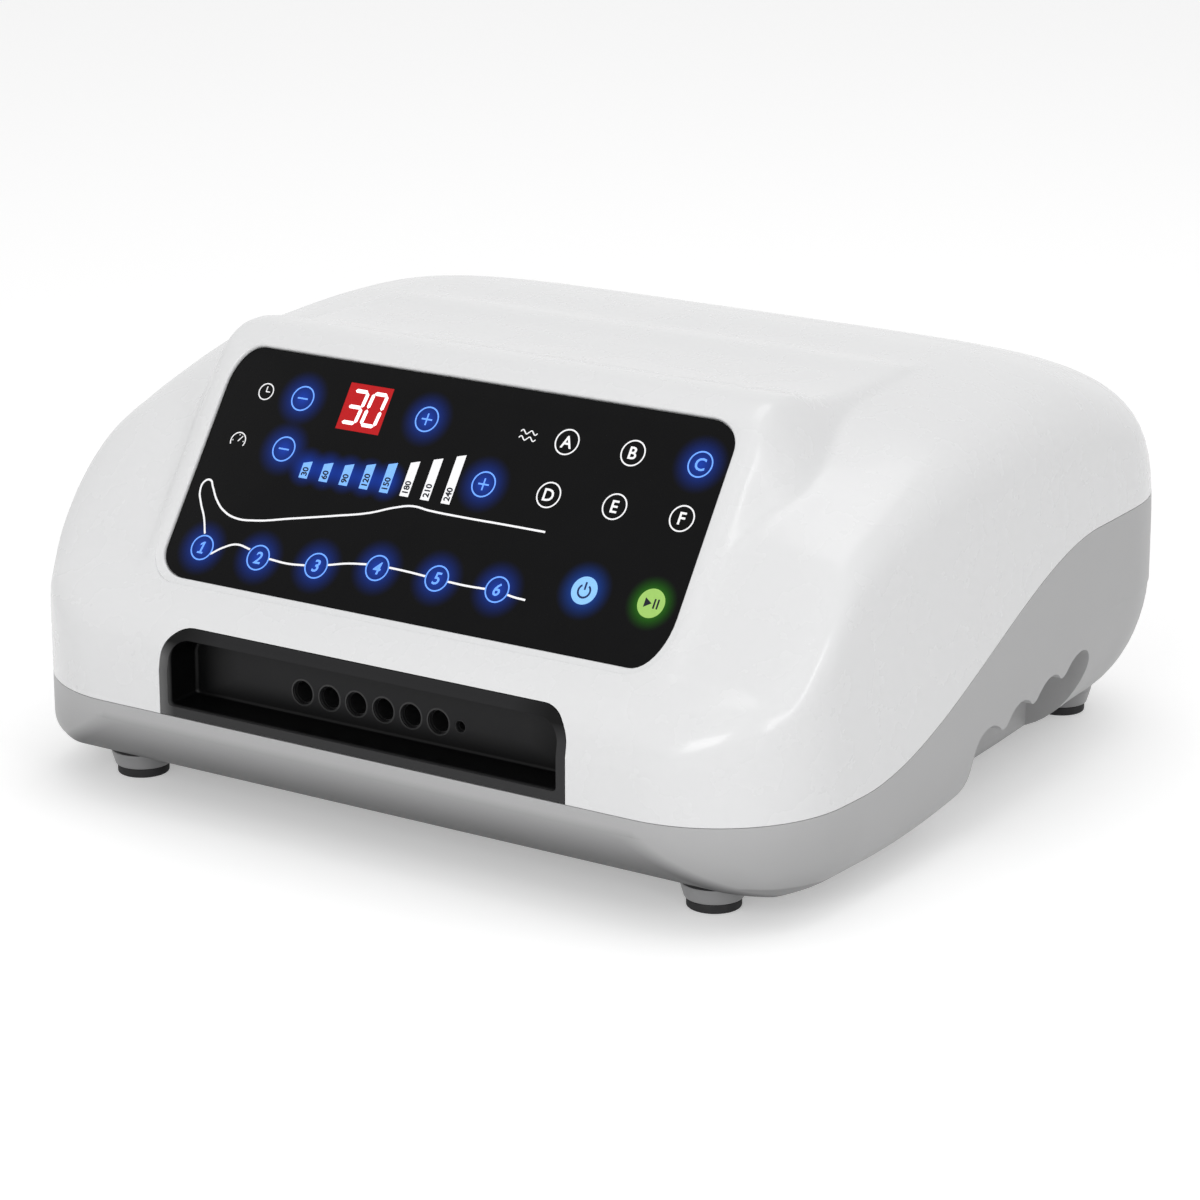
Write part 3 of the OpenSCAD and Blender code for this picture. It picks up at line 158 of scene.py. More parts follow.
@dataclass
class HousingForm:
    """Lofted form of the housing: sections across, one behind the other."""

    width: float = 343.0
    depth: float = 335.0
    dome: float = 158.8
    underside: float = 9.5
    wall: float = 2.6
    seam_front: float = 39.3
    seam_back: float = 95.0
    panel_w: float = 220.0
    panel_l: float = 93.0
    panel_t: float = 1.2
    tilt: float = 55.0
    panel_low_z: float = 83.1
    rim_proud: float = 1.2
    rim_w: float = 7.0
    edge_softness: float = 1.25
    valley_blend: float = 3.2
    scoop: Point2 = (37.0, 23.0)
    corner_r: float = 13.0
    back_r: float = 24.0
    bow: float = 5.0
    plan_r: Point2 = (50.0, 66.0)
    roll_y: Point2 = (-95.0, 100.0)
    roll_r: Point2 = (42.0, 56.0)
    seam_y: Point2 = (-105.0, 68.0)
    corner_x: Point2 = (150.0, 168.0)
    flank_fall: float = 1.9

    def __post_init__(self) -> None:
        """Works out the console's profile from the panel's place."""
        self.half_w, self.half_d = self.width / 2, self.depth / 2
        slope = math.radians(self.tilt)
        self.cos, self.sin, tan = math.cos(slope), math.sin(slope), math.tan(slope)
        self.panel_low_y = 26 - self.half_d
        self.panel_top_y = self.panel_low_y + self.panel_l * self.cos
        rise = self.rim_proud / self.cos
        top = self.panel_low_z + self.panel_l * self.sin + rise
        crest, y = top + 4.2, self.panel_top_y
        self.console_half = self.panel_w / 2 + self.rim_w
        self.console = Curve((
            (self.panel_low_y - 3, self.panel_low_z + rise - 3 * tan),
            (self.panel_low_y, self.panel_low_z + rise),
            (y - 8, top - 8 * tan), (y - 1, top - tan), (y + 6, crest - 1),
            (y + 16, crest + 0.6), (y + 26, crest - 0.6), (y + 38, crest - 4.2),
            (y + 55, crest - 6.4), (y + 80, crest - 6.9), (y + 110, crest - 8.5),
            (y + 125, crest - 20),
        ))
        self.top_line = Curve((
            (-1, 0.353), (-0.991, 0.403), (-0.973, 0.441), (-0.949, 0.469),
            (-0.896, 0.507), (-0.842, 0.538), (-0.776, 0.62), (-0.716, 0.694),
            (-0.657, 0.766), (-0.597, 0.814), (-0.478, 0.868), (-0.358, 0.912),
            (-0.179, 0.965), (0, 0.986), (0.179, 1), (0.358, 0.999), (0.627, 0.938),
            (0.776, 0.887), (0.884, 0.802), (0.943, 0.711), (0.979, 0.603), (1, 0.45),
        ))

    def plan_half(self, y: float, inset: float) -> float:
        """Half the width of the section at y."""
        return (
            self.half_w - inset - self.bow * (y / self.half_d) ** 2
            - edge_drop(self.half_d - inset + y, self.plan_r[0] - inset)
            - edge_drop(self.half_d - inset - y, self.plan_r[1] - inset)
        )

    def top_z(self, y: float) -> float:
        """Height of the housing's top line at y, without the console."""
        share = min(1.0, max(-1.0, y / self.half_d))
        return self.dome * self.top_line.at(share)

    def roof(self, y: float, inset: float) -> float:
        """Height of the top line less the wall, measured square to the line."""
        steep = (self.top_z(y + 1) - self.top_z(y - 1)) / 2
        return self.top_z(y) - inset * min(2.6, math.hypot(1, steep))

    def waist(self, y: float) -> float:
        """Height at which a section is widest."""
        return min(60.0, self.underside + (self.top_z(y) - self.underside) / 2)

    def fullness(self, y: float) -> float:
        """How boxy the shoulders are at y."""
        return 8 - (3.5 if y < 0 else 3.7) * y / self.half_d

    def shoulder(self, y: float, share: float, inset: float) -> float:
        """Height of the shoulder at a share of the half width."""
        n, low = self.fullness(y), self.waist(y)
        return low + (self.roof(y, inset) - low) * max(0.0, 1 - share**n) ** (1 / n)

    def console_z(self, x: float, y: float, inset: float) -> float:
        """Height of the console, with its soft edge and its flank."""
        soft = self.edge_softness
        out = (abs(x) - self.console_half) / soft
        flank = soft * (out if out > 30 else math.log1p(math.exp(out)))
        return self.console.at(y) - self.flank_fall * flank - 1.75 * inset

    def floor_z(self, x: float, y: float, inset: float) -> float:
        """Height of the underside, rounded at the front and the back."""
        corner = smooth(*self.corner_x, abs(x))
        reach = self.scoop[0] + (self.corner_r - self.scoop[0]) * corner
        rise = self.scoop[1] + (self.corner_r - self.scoop[1]) * corner
        front = edge_drop(self.half_d + y, reach) * rise / reach
        return self.underside + inset + front + edge_drop(self.half_d - y, self.back_r)

    def seam_z(self, y: float) -> float:
        """Height of the parting line at y."""
        return self.seam_front + (self.seam_back - self.seam_front) * smooth(*self.seam_y, y)

    def flank_foot(self, y: float, w: float, inset: float, edge: float, end: float) -> float:
        """Place where the console's flank meets the shoulder.

        Args:
            y: Station of the section.
            w: Half the width there.
            inset: Depth of the section below the outer face.
            edge: The console's edge.
            end: Where the shoulder ends.

        Returns:
            The distance from the middle.
        """
        low, high = edge, end
        for _ in range(14):
            mid = (low + high) / 2
            above = self.console_z(mid, y, inset) > self.shoulder(y, mid / w, inset)
            low, high = (mid, high) if above else (low, mid)
        return max(edge + 3, low)

    def half_ring(self, y: float, inset: float, fine: bool) -> list[Point3]:
        """Right half of a section, from the middle of the floor to the middle of the top.

        Args:
            y: Station of the section.
            inset: Depth below the outer face.
            fine: True for the outer face, False for the plainer inner one.

        Returns:
            The points in order.
        """
        w, wz = self.plan_half(y, inset), self.waist(y)
        roll = smooth(*self.roll_y, y)
        across, up = (self.corner_r + (r - self.corner_r) * roll for r in self.roll_r)
        flat, turn = w - across, 0.5 ** (1 / self.fullness(y))
        shares = (0, 0.25, 0.5, 0.7, 0.82, 0.9, 0.95, 0.98, 1) if fine else (0, 0.45, 0.85, 1)
        ring = [(s * flat, y, min(wz, self.floor_z(s * flat, y, inset))) for s in shares]
        steps = 16 if fine else 6
        for i in range(1, steps + 1):
            a = math.radians(90 * i / steps)
            x = flat + across * math.sin(a)
            low = self.floor_z(x, y, inset)
            lift = up * (1 - math.cos(a)) * (1 - (low - self.underside) / wz)
            ring.append((x, y, min(wz, low + lift)))
        sides = ([0.06, 0.16, 0.27, 0.38, 0.49, 0.59, 0.68, 0.76, 0.83, 0.89, 0.94, 0.975]
                 if fine else [0.13, 0.46, 0.72, 0.87, 0.955])
        roof, n = self.roof(y, inset), self.fullness(y)
        for s in sides:
            share = s * turn
            ring.append((w * (1 - share**n) ** (1 / n), y, wz + (roof - wz) * share))
        edge, end = min(self.console_half, 0.7 * w), turn * w
        foot = self.flank_foot(y, w, inset, edge, end)
        if fine:
            places = [s * edge for s in (0, 0.25, 0.5, 0.7, 0.85)]
            places += [edge - g for g in (8, 5, 3.2, 2, 1, 0)]
            span = foot - edge
            places += [edge + s * span for s in (0.08, 0.18, 0.32, 0.5, 0.68, 0.82, 0.92, 1)]
            places += [foot + s * (end - foot)
                       for s in (0.06, 0.13, 0.22, 0.34, 0.47, 0.6, 0.72, 0.82, 0.9, 0.96, 1)]
        else:
            places = [0, 0.43 * edge, 0.83 * edge, edge - 3, edge, (edge + foot) / 2, foot]
            places += [foot + s * (end - foot) for s in (0.4, 0.7, 0.88, 1)]
        for x in reversed(places):
            top = self.shoulder(y, x / w, inset)
            raised = self.console_z(x, y, inset)
            ring.append((x, y, soft_max(top, raised, self.valley_blend) if fine else max(top, raised)))
        return ring

    def ring(self, y: float, inset: float, fine: bool) -> list[Point3]:
        """Whole section: the right half and its mirror image."""
        half = self.half_ring(y, inset, fine)
        return half + [(-x, y, z) for x, _, z in half[-2:0:-1]]

    def stations(self, fine: bool) -> list[float]:
        """Shares of half the depth at which a section is drawn."""
        if not fine:
            return [-1, -0.985, -0.95, -0.9, -0.845, -0.77, -0.69, -0.61, -0.53, -0.46, -0.35,
                    -0.2, 0, 0.25, 0.5, 0.66, 0.78, 0.87, 0.93, 0.97, 0.99, 1]
        ends = [0, 0.0006, 0.0016, 0.0032, 0.0055, 0.0085, 0.0125, 0.018, 0.025, 0.033,
                0.043, 0.055, 0.068, 0.082, 0.1]
        front = [e - 1 for e in ends]
        middle: list[float] = []
        s = -0.893
        while s < 0.885:
            middle.append(s)
            s += 0.006 if s < -0.83 else 0.0125 if s < -0.36 else 0.028
        return front + middle + [1 - e for e in reversed(ends)]

    def on_panel(self, u: float, v: float, n: float) -> Point3:
        """A point in the panel's own frame, in housing millimetres.

        Args:
            u: Across, from the middle.
            v: Up the slope, from the lower edge.
            n: Out of the panel's face.

        Returns:
            The point in the housing's frame.
        """
        return (u, self.panel_low_y + v * self.cos - n * self.sin,
                self.panel_low_z + v * self.sin + n * self.cos)

    def panel_matrix(self) -> Matrix:
        """Turns panel millimetres into housing metres."""
        rows = ((1, 0, 0, 0), (0, self.cos, -self.sin, self.panel_low_y),
                (0, self.sin, self.cos, self.panel_low_z), (0, 0, 0, 1 / MM))
        m = Matrix(rows) * MM
        m[3][3] = 1
        return m


# Workbench: the modelling steps ------------------------------------------------------


class Bench:
    """Modelling steps that every sub-assembly uses."""

    @staticmethod
    def clear() -> None:
        """Deselects everything and leaves edit mode."""
        if bpy.context.object and bpy.context.object.mode != "OBJECT":
            bpy.ops.object.mode_set(mode="OBJECT")
        bpy.ops.object.select_all(action="DESELECT")

    @staticmethod
    def pick(*objs: bpy.types.Object) -> None:
        """Selects these objects alone and makes the first one active."""
        Bench.clear()
        for o in objs:
            o.select_set(True)
        bpy.context.view_layer.objects.active = objs[0]

    @staticmethod
    def loft(name: str, rings: Sequence[Sequence[Point3]], closed: bool = False) -> bpy.types.Object:
        """Closed solid through rings of equal count, rolled up from a grid.

        Args:
            name: Name of the new object.
            rings: Points of each ring, in millimetres.
            closed: True where the last ring runs on into the first.

        Returns:
            The new object.
        """
        if closed:
            rings = [*rings, rings[0]]
        across, along = len(rings[0]), len(rings)
        Bench.clear()
        bpy.ops.mesh.primitive_grid_add(x_subdivisions=across, y_subdivisions=along - 1, size=2)
        obj = bpy.context.object
        obj.name = name
        for v in obj.data.vertices:
            i = round((v.co.x + 1) / 2 * across) % across
            j = round((v.co.y + 1) / 2 * (along - 1))
            v.co = Vector(rings[j][i]) * MM
        bpy.ops.object.mode_set(mode="EDIT")
        bpy.ops.mesh.select_all(action="SELECT")
        bpy.ops.mesh.remove_doubles(threshold=1e-7)
        bpy.ops.mesh.select_all(action="DESELECT")
        bpy.ops.mesh.select_mode(type="EDGE")
        if not closed:
            bpy.ops.mesh.select_non_manifold(extend=False)
            bpy.ops.mesh.edge_face_add()
        bpy.ops.mesh.select_all(action="SELECT")
        bpy.ops.mesh.normals_make_consistent(inside=False)
        bpy.ops.mesh.select_mode(type="VERT")
        bpy.ops.object.mode_set(mode="OBJECT")
        return obj

    @staticmethod
    def outline(name: str, points: Sequence[Point2], place: Callable[[float, float], Point3],
                push: Vector) -> bpy.types.Object:
        """Prism: an outline set down by place() and extruded by push.

        Args:
            name: Name of the new object.
            points: Corners of the outline.
            place: Turns a corner into a point in millimetres.
            push: Extrusion in millimetres.

        Returns:
            The new object.
        """
        Bench.clear()
        bpy.ops.mesh.primitive_circle_add(vertices=len(points), fill_type="NGON")
        obj = bpy.context.object
        obj.name = name
        for v, p in zip(obj.data.vertices, points):
            v.co = Vector(place(*p)) * MM
        bpy.ops.object.mode_set(mode="EDIT")
        bpy.ops.mesh.select_all(action="SELECT")
        bpy.ops.mesh.extrude_region_move(TRANSFORM_OT_translate={"value": push * MM})
        bpy.ops.mesh.select_all(action="SELECT")
        bpy.ops.mesh.normals_make_consistent(inside=False)
        bpy.ops.object.mode_set(mode="OBJECT")
        return obj

    @staticmethod
    def block(name: str, low: Point3, high: Point3) -> bpy.types.Object:
        """A block between two corners, in millimetres."""
        Bench.clear()
        bpy.ops.mesh.primitive_cube_add(size=1)
        obj = bpy.context.object
        obj.name = name
        for v in obj.data.vertices:
            v.co = Vector([(low[k] if v.co[k] < 0 else high[k]) * MM for k in range(3)])
        return obj

    @staticmethod
    def cut(obj: bpy.types.Object, tool: bpy.types.Object, how: Cut = Cut.AWAY) -> None:
        """Cuts obj with a tool, which is then removed."""
        Bench.pick(obj)
        step = obj.modifiers.new("cut", "BOOLEAN")
        step.operation, step.object, step.solver = how.value, tool, "MANIFOLD"
        bpy.ops.object.modifier_apply(modifier=step.name)
        mesh = tool.data
        bpy.data.objects.remove(tool)
        bpy.data.meshes.remove(mesh)

    @staticmethod
    def soften(obj: bpy.types.Object, width: float, steps: int = 3, angle: float = 35.0) -> None:
        """Rounds the sharp edges by width millimetres.

        Args:
            obj: The piece.
            width: Width of the rounding.
            steps: Facets across the rounding.
            angle: Edges sharper than this many degrees are rounded.
        """
        Bench.pick(obj)
        step = obj.modifiers.new("round", "BEVEL")
        step.width, step.segments = width * MM, steps
        step.limit_method, step.angle_limit = "ANGLE", math.radians(angle)
        step.use_clamp_overlap = True
        bpy.ops.object.modifier_apply(modifier=step.name)

    @staticmethod
    def shade(obj: bpy.types.Object, angle: float = 32.0) -> None:
        """Smooth shading up to an angle in degrees."""
        Bench.pick(obj)
        bpy.ops.object.shade_smooth_by_angle(angle=math.radians(angle), keep_sharp_edges=False)

    @staticmethod
    def join(name: str, parts: Sequence[bpy.types.Object]) -> bpy.types.Object:
        """Joins parts into one object of the given name."""
        Bench.pick(*parts)
        if len(parts) > 1:
            bpy.ops.object.join()
        obj = bpy.context.object
        obj.name = name
        return obj

    @staticmethod
    def from_node(node: str, name: str, width: float, steps: int = 3) -> bpy.types.Object:
        """A copy of a CAD node with its edges rounded.

        Args:
            node: The CAD node.
            name: Name of the new piece.
            width: Width of the rounding in millimetres.
            steps: Facets across the rounding.

        Returns:
            The new piece.
        """
        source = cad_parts[node]
        mesh = source.data.copy()
        mesh.materials.clear()
        obj = bpy.data.objects.new(name, mesh)
        bpy.context.scene.collection.objects.link(obj)
        Bench.pick(obj)
        bpy.ops.object.mode_set(mode="EDIT")
        bpy.ops.mesh.select_all(action="SELECT")
        bpy.ops.mesh.remove_doubles(threshold=2e-6)
        bpy.ops.mesh.dissolve_limited(angle_limit=math.radians(1.5))
        bpy.ops.object.mode_set(mode="OBJECT")
        Bench.soften(obj, width, steps)
        Bench.shade(obj)
        return obj


# Finishes ------------------------------------------------------------------------------


class Graph:
    """A small node graph being wired for one material."""

    def __init__(self, name: str) -> None:
        """Starts a material with an empty graph."""
        self.material = bpy.data.materials.new(name)
        self.material.use_nodes = True
        self.nodes = self.material.node_tree.nodes
        self.links = self.material.node_tree.links
        self.shader = self.nodes["Principled BSDF"]
        self.place = self.nodes.new("ShaderNodeTexCoord").outputs["Object"]

    def add(self, kind: str, inputs: Optional[dict[str, object]] = None,
            **settings: object) -> bpy.types.Node:
        """Adds a node.

        Args:
            kind: Blender's name of the node.
            inputs: Values or sockets for its inputs, by name or index.
            **settings: Properties of the node.

        Returns:
            The node.
        """
        node = self.nodes.new(kind)
        for key, value in settings.items():
            setattr(node, key, value)
        for key, value in (inputs or {}).items():
            socket = node.inputs[int(key)] if key.isdigit() else node.inputs[key]
            if isinstance(value, bpy.types.NodeSocket):
                self.links.new(value, socket)
            else:
                socket.default_value = value
        return node

    def set(self, name: str, value: object) -> None:
        """Sets or feeds an input of the shader."""
        if isinstance(value, bpy.types.NodeSocket):
            self.links.new(value, self.shader.inputs[name])
        else:
            self.shader.inputs[name].default_value = value

    def noise(self, scale: float, detail: float = 3.0) -> bpy.types.NodeSocket:
        """Noise over the piece's own coordinates; scale counts features per metre."""
        inputs = {"Vector": self.place, "Scale": scale, "Detail": detail}
        return self.add("ShaderNodeTexNoise", inputs).outputs["Fac"]

    def fade(self, source: bpy.types.NodeSocket, ends: Point2,
             to_low: float, to_high: float) -> bpy.types.NodeSocket:
        """Maps a range in millimetres to a range of numbers."""
        return self.ramp(source, ends[0] * MM, ends[1] * MM, to_low, to_high)

    def gloss(self, roughness: float, spread: float = 0.03) -> None:
        """Sets a roughness that drifts a little over the piece."""
        self.set("Roughness", self.ramp(self.noise(60, 4), 0.3, 0.7, roughness - spread, roughness + spread))

    def ramp(self, source: bpy.types.NodeSocket, low: float, high: float,
             to_low: float, to_high: float) -> bpy.types.NodeSocket:
        """Maps a range of one value to a range of another."""
        return self.add("ShaderNodeMapRange", {"Value": source, "From Min": low, "From Max": high,
                                               "To Min": to_low, "To Max": to_high}).outputs["Result"]

    def mix(self, share: bpy.types.NodeSocket, a: object, b: object) -> bpy.types.NodeSocket:
        """Blend of two colours, each a triple or a socket."""
        ends = [c if isinstance(c, bpy.types.NodeSocket) else (*c, 1) for c in (a, b)]
        inputs = {"0": share, "6": ends[0], "7": ends[1]}
        return self.add("ShaderNodeMix", inputs, data_type="RGBA").outputs[2]

    def math(self, operation: str, first: object, second: object = 0.0) -> bpy.types.NodeSocket:
        """One step of arithmetic on numbers or sockets."""
        inputs = {"0": first, "1": second}
        return self.add("ShaderNodeMath", inputs, operation=operation).outputs["Value"]

    def bump(self, height: bpy.types.NodeSocket, depth: float, strength: float = 1.0) -> None:
        """Feeds a bump of the given depth in millimetres to the shader."""
        inputs = {"Height": height, "Strength": strength, "Distance": depth * MM}
        self.set("Normal", self.add("ShaderNodeBump", inputs).outputs["Normal"])


@dataclass(frozen=True)
class Moulding:
    """Moulded plastic: colour with a faint drift, fine texture and a clear or matt surface."""

    name: str
    colour: Colour
    roughness: float = 0.35
    drift: float = 0.03
    grain: float = 900.0
    grain_depth: float = 0.02
    coat: float = 0.0
    specular: float = 0.5

    def build(self) -> bpy.types.Material:
        """Wires the material."""
        g = Graph(self.name)
        dark = tuple(c * (1 - self.drift) for c in self.colour)
        g.set("Base Color", g.mix(g.noise(14, 2), dark, self.colour))
        g.gloss(self.roughness, 0.025)
        g.set("Specular IOR Level", self.specular)
        g.set("Coat Weight", self.coat)
        g.set("Coat Roughness", 0.06)
        g.bump(g.noise(self.grain, 2), self.grain_depth, 0.35)
        return g.material


@dataclass(frozen=True)
class PaintedShadeLacquer:
    """Silver-grey lacquer with painted shade: darker in the scoop under the front and towards the floor, with
    a painted shade band under the front corners in place of a small chamfer.
    """

    name: str
    colour: Colour
    # Painted shade colour, reached in the scoop and next to the floor.
    painted_deep_shade: Colour
    scoop_y: float
    scoop: Point2
    low_z: float
    seam_z: float
    fade_y: Point2 = (-140.0, -100.0)
    side_shade_share: float = 0.22
    wall_rise: Point2 = (0.3, 3.0)
    # Painted shade band under the front corners, standing in for the shade of a small chamfer.
    brim: float = 7.0
    brim_shade_share: float = 0.42
    brim_blend: Point2 = (-0.6, 0.4)
    brim_y: Point2 = (-150.0, -80.0)
    brim_x: Point2 = (112.0, 132.0)
    roughness: float = 0.4

    def build(self) -> bpy.types.Material:
        """Wires the material."""
        g = Graph(self.name)
        place = g.add("ShaderNodeSeparateXYZ", {"0": g.place})
        out, y, z = g.math("ABSOLUTE", place.outputs["X"]), place.outputs["Y"], place.outputs["Z"]
        # Painted shade follows the scoop's curve under the front: the height of that curve at each y.
        start = self.scoop_y * MM
        along = g.ramp(y, start, start - self.scoop[0] * MM, 0, 1)
        square = g.math("MULTIPLY", along, along)
        bend = g.math("SQRT", g.math("SUBTRACT", 1.0, square))
        scoop_z = g.ramp(bend, 1, 0, self.low_z * MM, (self.low_z + self.scoop[1]) * MM)
        above = g.math("SUBTRACT", z, scoop_z)
        # Painted shade masks: darker close above the scoop, towards the floor and towards the front.
        wall = g.fade(above, self.wall_rise, 1, self.side_shade_share)
        low = g.fade(z, (self.low_z + 3, self.seam_z), 1, 0)
        front = g.fade(y, self.fade_y, 1, self.side_shade_share)
        # Painted shade: a darker band under the front corners, in place of a small chamfer.
        edge = g.fade(y, self.brim_y, (self.low_z + self.brim) * MM, self.low_z * MM)
        under = g.fade(g.math("SUBTRACT", z, edge), self.brim_blend, self.brim_shade_share, 0)
        outer = g.fade(out, self.brim_x, 0, 1)
        # The painted shade mask is the larger of the two.
        share = g.math("MAXIMUM", g.math("MULTIPLY", low, g.math("MULTIPLY", front, wall)),
                       g.math("MULTIPLY", under, outer))
        # Base colour runs from the lacquer's grey to its painted shade colour.
        g.set("Base Color", g.mix(share, self.colour, self.painted_deep_shade))
        g.gloss(self.roughness)
        g.set("Specular IOR Level", 0.2)
        g.bump(g.noise(1100, 2), 0.015, 0.3)
        return g.material


@dataclass(frozen=True)
class RecessPlastic:
    """Charcoal plastic of the outlet recess, with painted shade inside it, darkest where its back wall meets
    the floor and at its ends, and painted light on its left wall.
    """

    name: str
    colour: Colour = (0.034, 0.034, 0.035)
    # Painted shade colours: the back wall darker than the frame, darkest towards the floor and at the ends.
    back: Colour = (0.016, 0.016, 0.017)
    painted_deep_shade: Colour = (0.0015, 0.0015, 0.0016)
    front_y: Point2 = (-166.6, -165.0)
    floor_z: Point2 = (45.5, 53.0)
    end_x: Point2 = (64.0, 80.0)
    # Painted light: the left wall of the recess lighter, as if lit from the right.
    lit_x: Point2 = (-88.0, -82.5)
    lit: Colour = (0.13, 0.13, 0.131)
    roughness: float = 0.36

    def build(self) -> bpy.types.Material:
        """Wires the material."""
        g = Graph(self.name)
        place = g.add("ShaderNodeSeparateXYZ", {"0": g.place})
        # Painted shade inside the recess, behind the front frame.
        inside = g.fade(place.outputs["Y"], self.front_y, 0, 1)
        # Painted shade: darkest towards the floor and at both ends of the back wall.
        low = g.fade(place.outputs["Z"], self.floor_z, 1, 0)
        end = g.fade(g.math("ABSOLUTE", place.outputs["X"]), self.end_x, 0, 1)
        shade = g.mix(g.math("MAXIMUM", low, end), self.back, self.painted_deep_shade)
        # Painted light on the left wall.
        left = g.fade(place.outputs["X"], self.lit_x, 1, 0)
        g.set("Base Color", g.mix(inside, g.mix(left, self.colour, self.lit), shade))
        g.gloss(self.roughness)
        g.set("Specular IOR Level", 0.14)
        g.bump(g.noise(900, 2), 0.03, 0.35)
        return g.material


@dataclass(frozen=True)
class Metal:
    """Bare or plated metal with fine streaks."""

    name: str
    colour: Colour
    roughness: float = 0.32
    streak: float = 500.0

    def build(self) -> bpy.types.Material:
        """Wires the material."""
        g = Graph(self.name)
        stretch = g.add("ShaderNodeMapping", {"Vector": g.place, "Scale": (0.08, 1.0, 1.0)})
        noise = {"Vector": stretch.outputs["Vector"], "Scale": self.streak, "Detail": 4.0}
        lines = g.add("ShaderNodeTexNoise", noise).outputs["Fac"]
        dark = tuple(c * 0.86 for c in self.colour)
        g.set("Base Color", g.mix(lines, dark, self.colour))
        g.set("Metallic", 1.0)
        g.set("Roughness", g.ramp(lines, 0.3, 0.7, self.roughness - 0.06, self.roughness + 0.06))
        g.bump(lines, 0.02, 0.3)
        return g.material


@dataclass(frozen=True)
class Rubber:
    """Matt rubber with a dusty grain."""

    name: str
    colour: Colour = (0.018, 0.018, 0.019)

    def build(self) -> bpy.types.Material:
        """Wires the material."""
        g = Graph(self.name)
        g.set("Base Color", g.mix(g.noise(400, 4), self.colour, tuple(c * 1.9 for c in self.colour)))
        g.set("Roughness", 0.72)
        g.set("Specular IOR Level", 0.35)
        g.bump(g.noise(1800, 3), 0.05, 0.5)
        return g.material


@dataclass(frozen=True)
class Windings:
    """Wound copper wire, turn beside turn."""

    name: str
    colour: Colour = (0.5, 0.2, 0.07)

    def build(self) -> bpy.types.Material:
        """Wires the material."""
        g = Graph(self.name)
        turns = g.add("ShaderNodeTexWave", {"Vector": g.place, "Scale": 420.0, "Distortion": 0.3},
                      bands_direction="Y").outputs["Fac"]
        g.set("Base Color", g.mix(turns, tuple(c * 0.35 for c in self.colour), self.colour))
        g.set("Roughness", 0.3)
        g.bump(turns, 0.2, 0.7)
        return g.material


@dataclass(frozen=True)
class Ink:
    """Printed or lit ink on the panel."""

    name: str
    colour: Colour
    glow: float = 0.0

    def build(self) -> bpy.types.Material:
        """Wires the material."""
        g = Graph(self.name)
        dim = tuple(c * 0.9 for c in self.colour)
        shade = g.mix(g.noise(700, 2), dim, self.colour)
        g.set("Base Color", shade)
        g.set("Roughness", 0.5)
        g.set("Specular IOR Level", 0.2)
        if self.glow > 0:
            g.set("Emission Color", shade)
            g.set("Emission Strength", self.glow)
        return g.material


@dataclass(frozen=True)
class Halo:
    """A lit place under the panel film."""

    centre: Point3
    reach: float
    colour: Colour


@dataclass(frozen=True)
class PanelFilm:
    """Black printed film with light that spreads under it round the lit keys."""

    name: str
    halos: tuple[Halo, ...]

    def build(self) -> bpy.types.Material:
        """Wires the material: one soft disc of light for each lit place."""
        g = Graph(self.name)
        g.set("Base Color", g.mix(g.noise(90, 3), (0.0030, 0.0030, 0.0033), (0.0044, 0.0044, 0.0047)))
        g.set("Roughness", g.ramp(g.noise(500, 2), 0.3, 0.7, 0.26, 0.32))
        g.set("Specular IOR Level", 0.075)
        total: Optional[bpy.types.NodeSocket] = None
        for halo in self.halos:
            gap = g.add("ShaderNodeVectorMath", {"0": g.place, "1": tuple(c * MM for c in halo.centre)},
                        operation="DISTANCE").outputs["Value"]
            near = g.ramp(gap, 0, halo.reach * MM, 1, 0)
            soft = g.math("POWER", near, 1.6)
            tint = g.add("ShaderNodeVectorMath", {"0": halo.colour}, operation="SCALE")
            g.links.new(soft, tint.inputs["Scale"])
            light = tint.outputs["Vector"]
            if total is not None:
                both = {"0": total, "1": light}
                light = g.add("ShaderNodeVectorMath", both, operation="ADD").outputs["Vector"]
            total = light
        if total is not None:
            g.set("Emission Color", total)
            g.set("Emission Strength", 1.0)
        return g.material


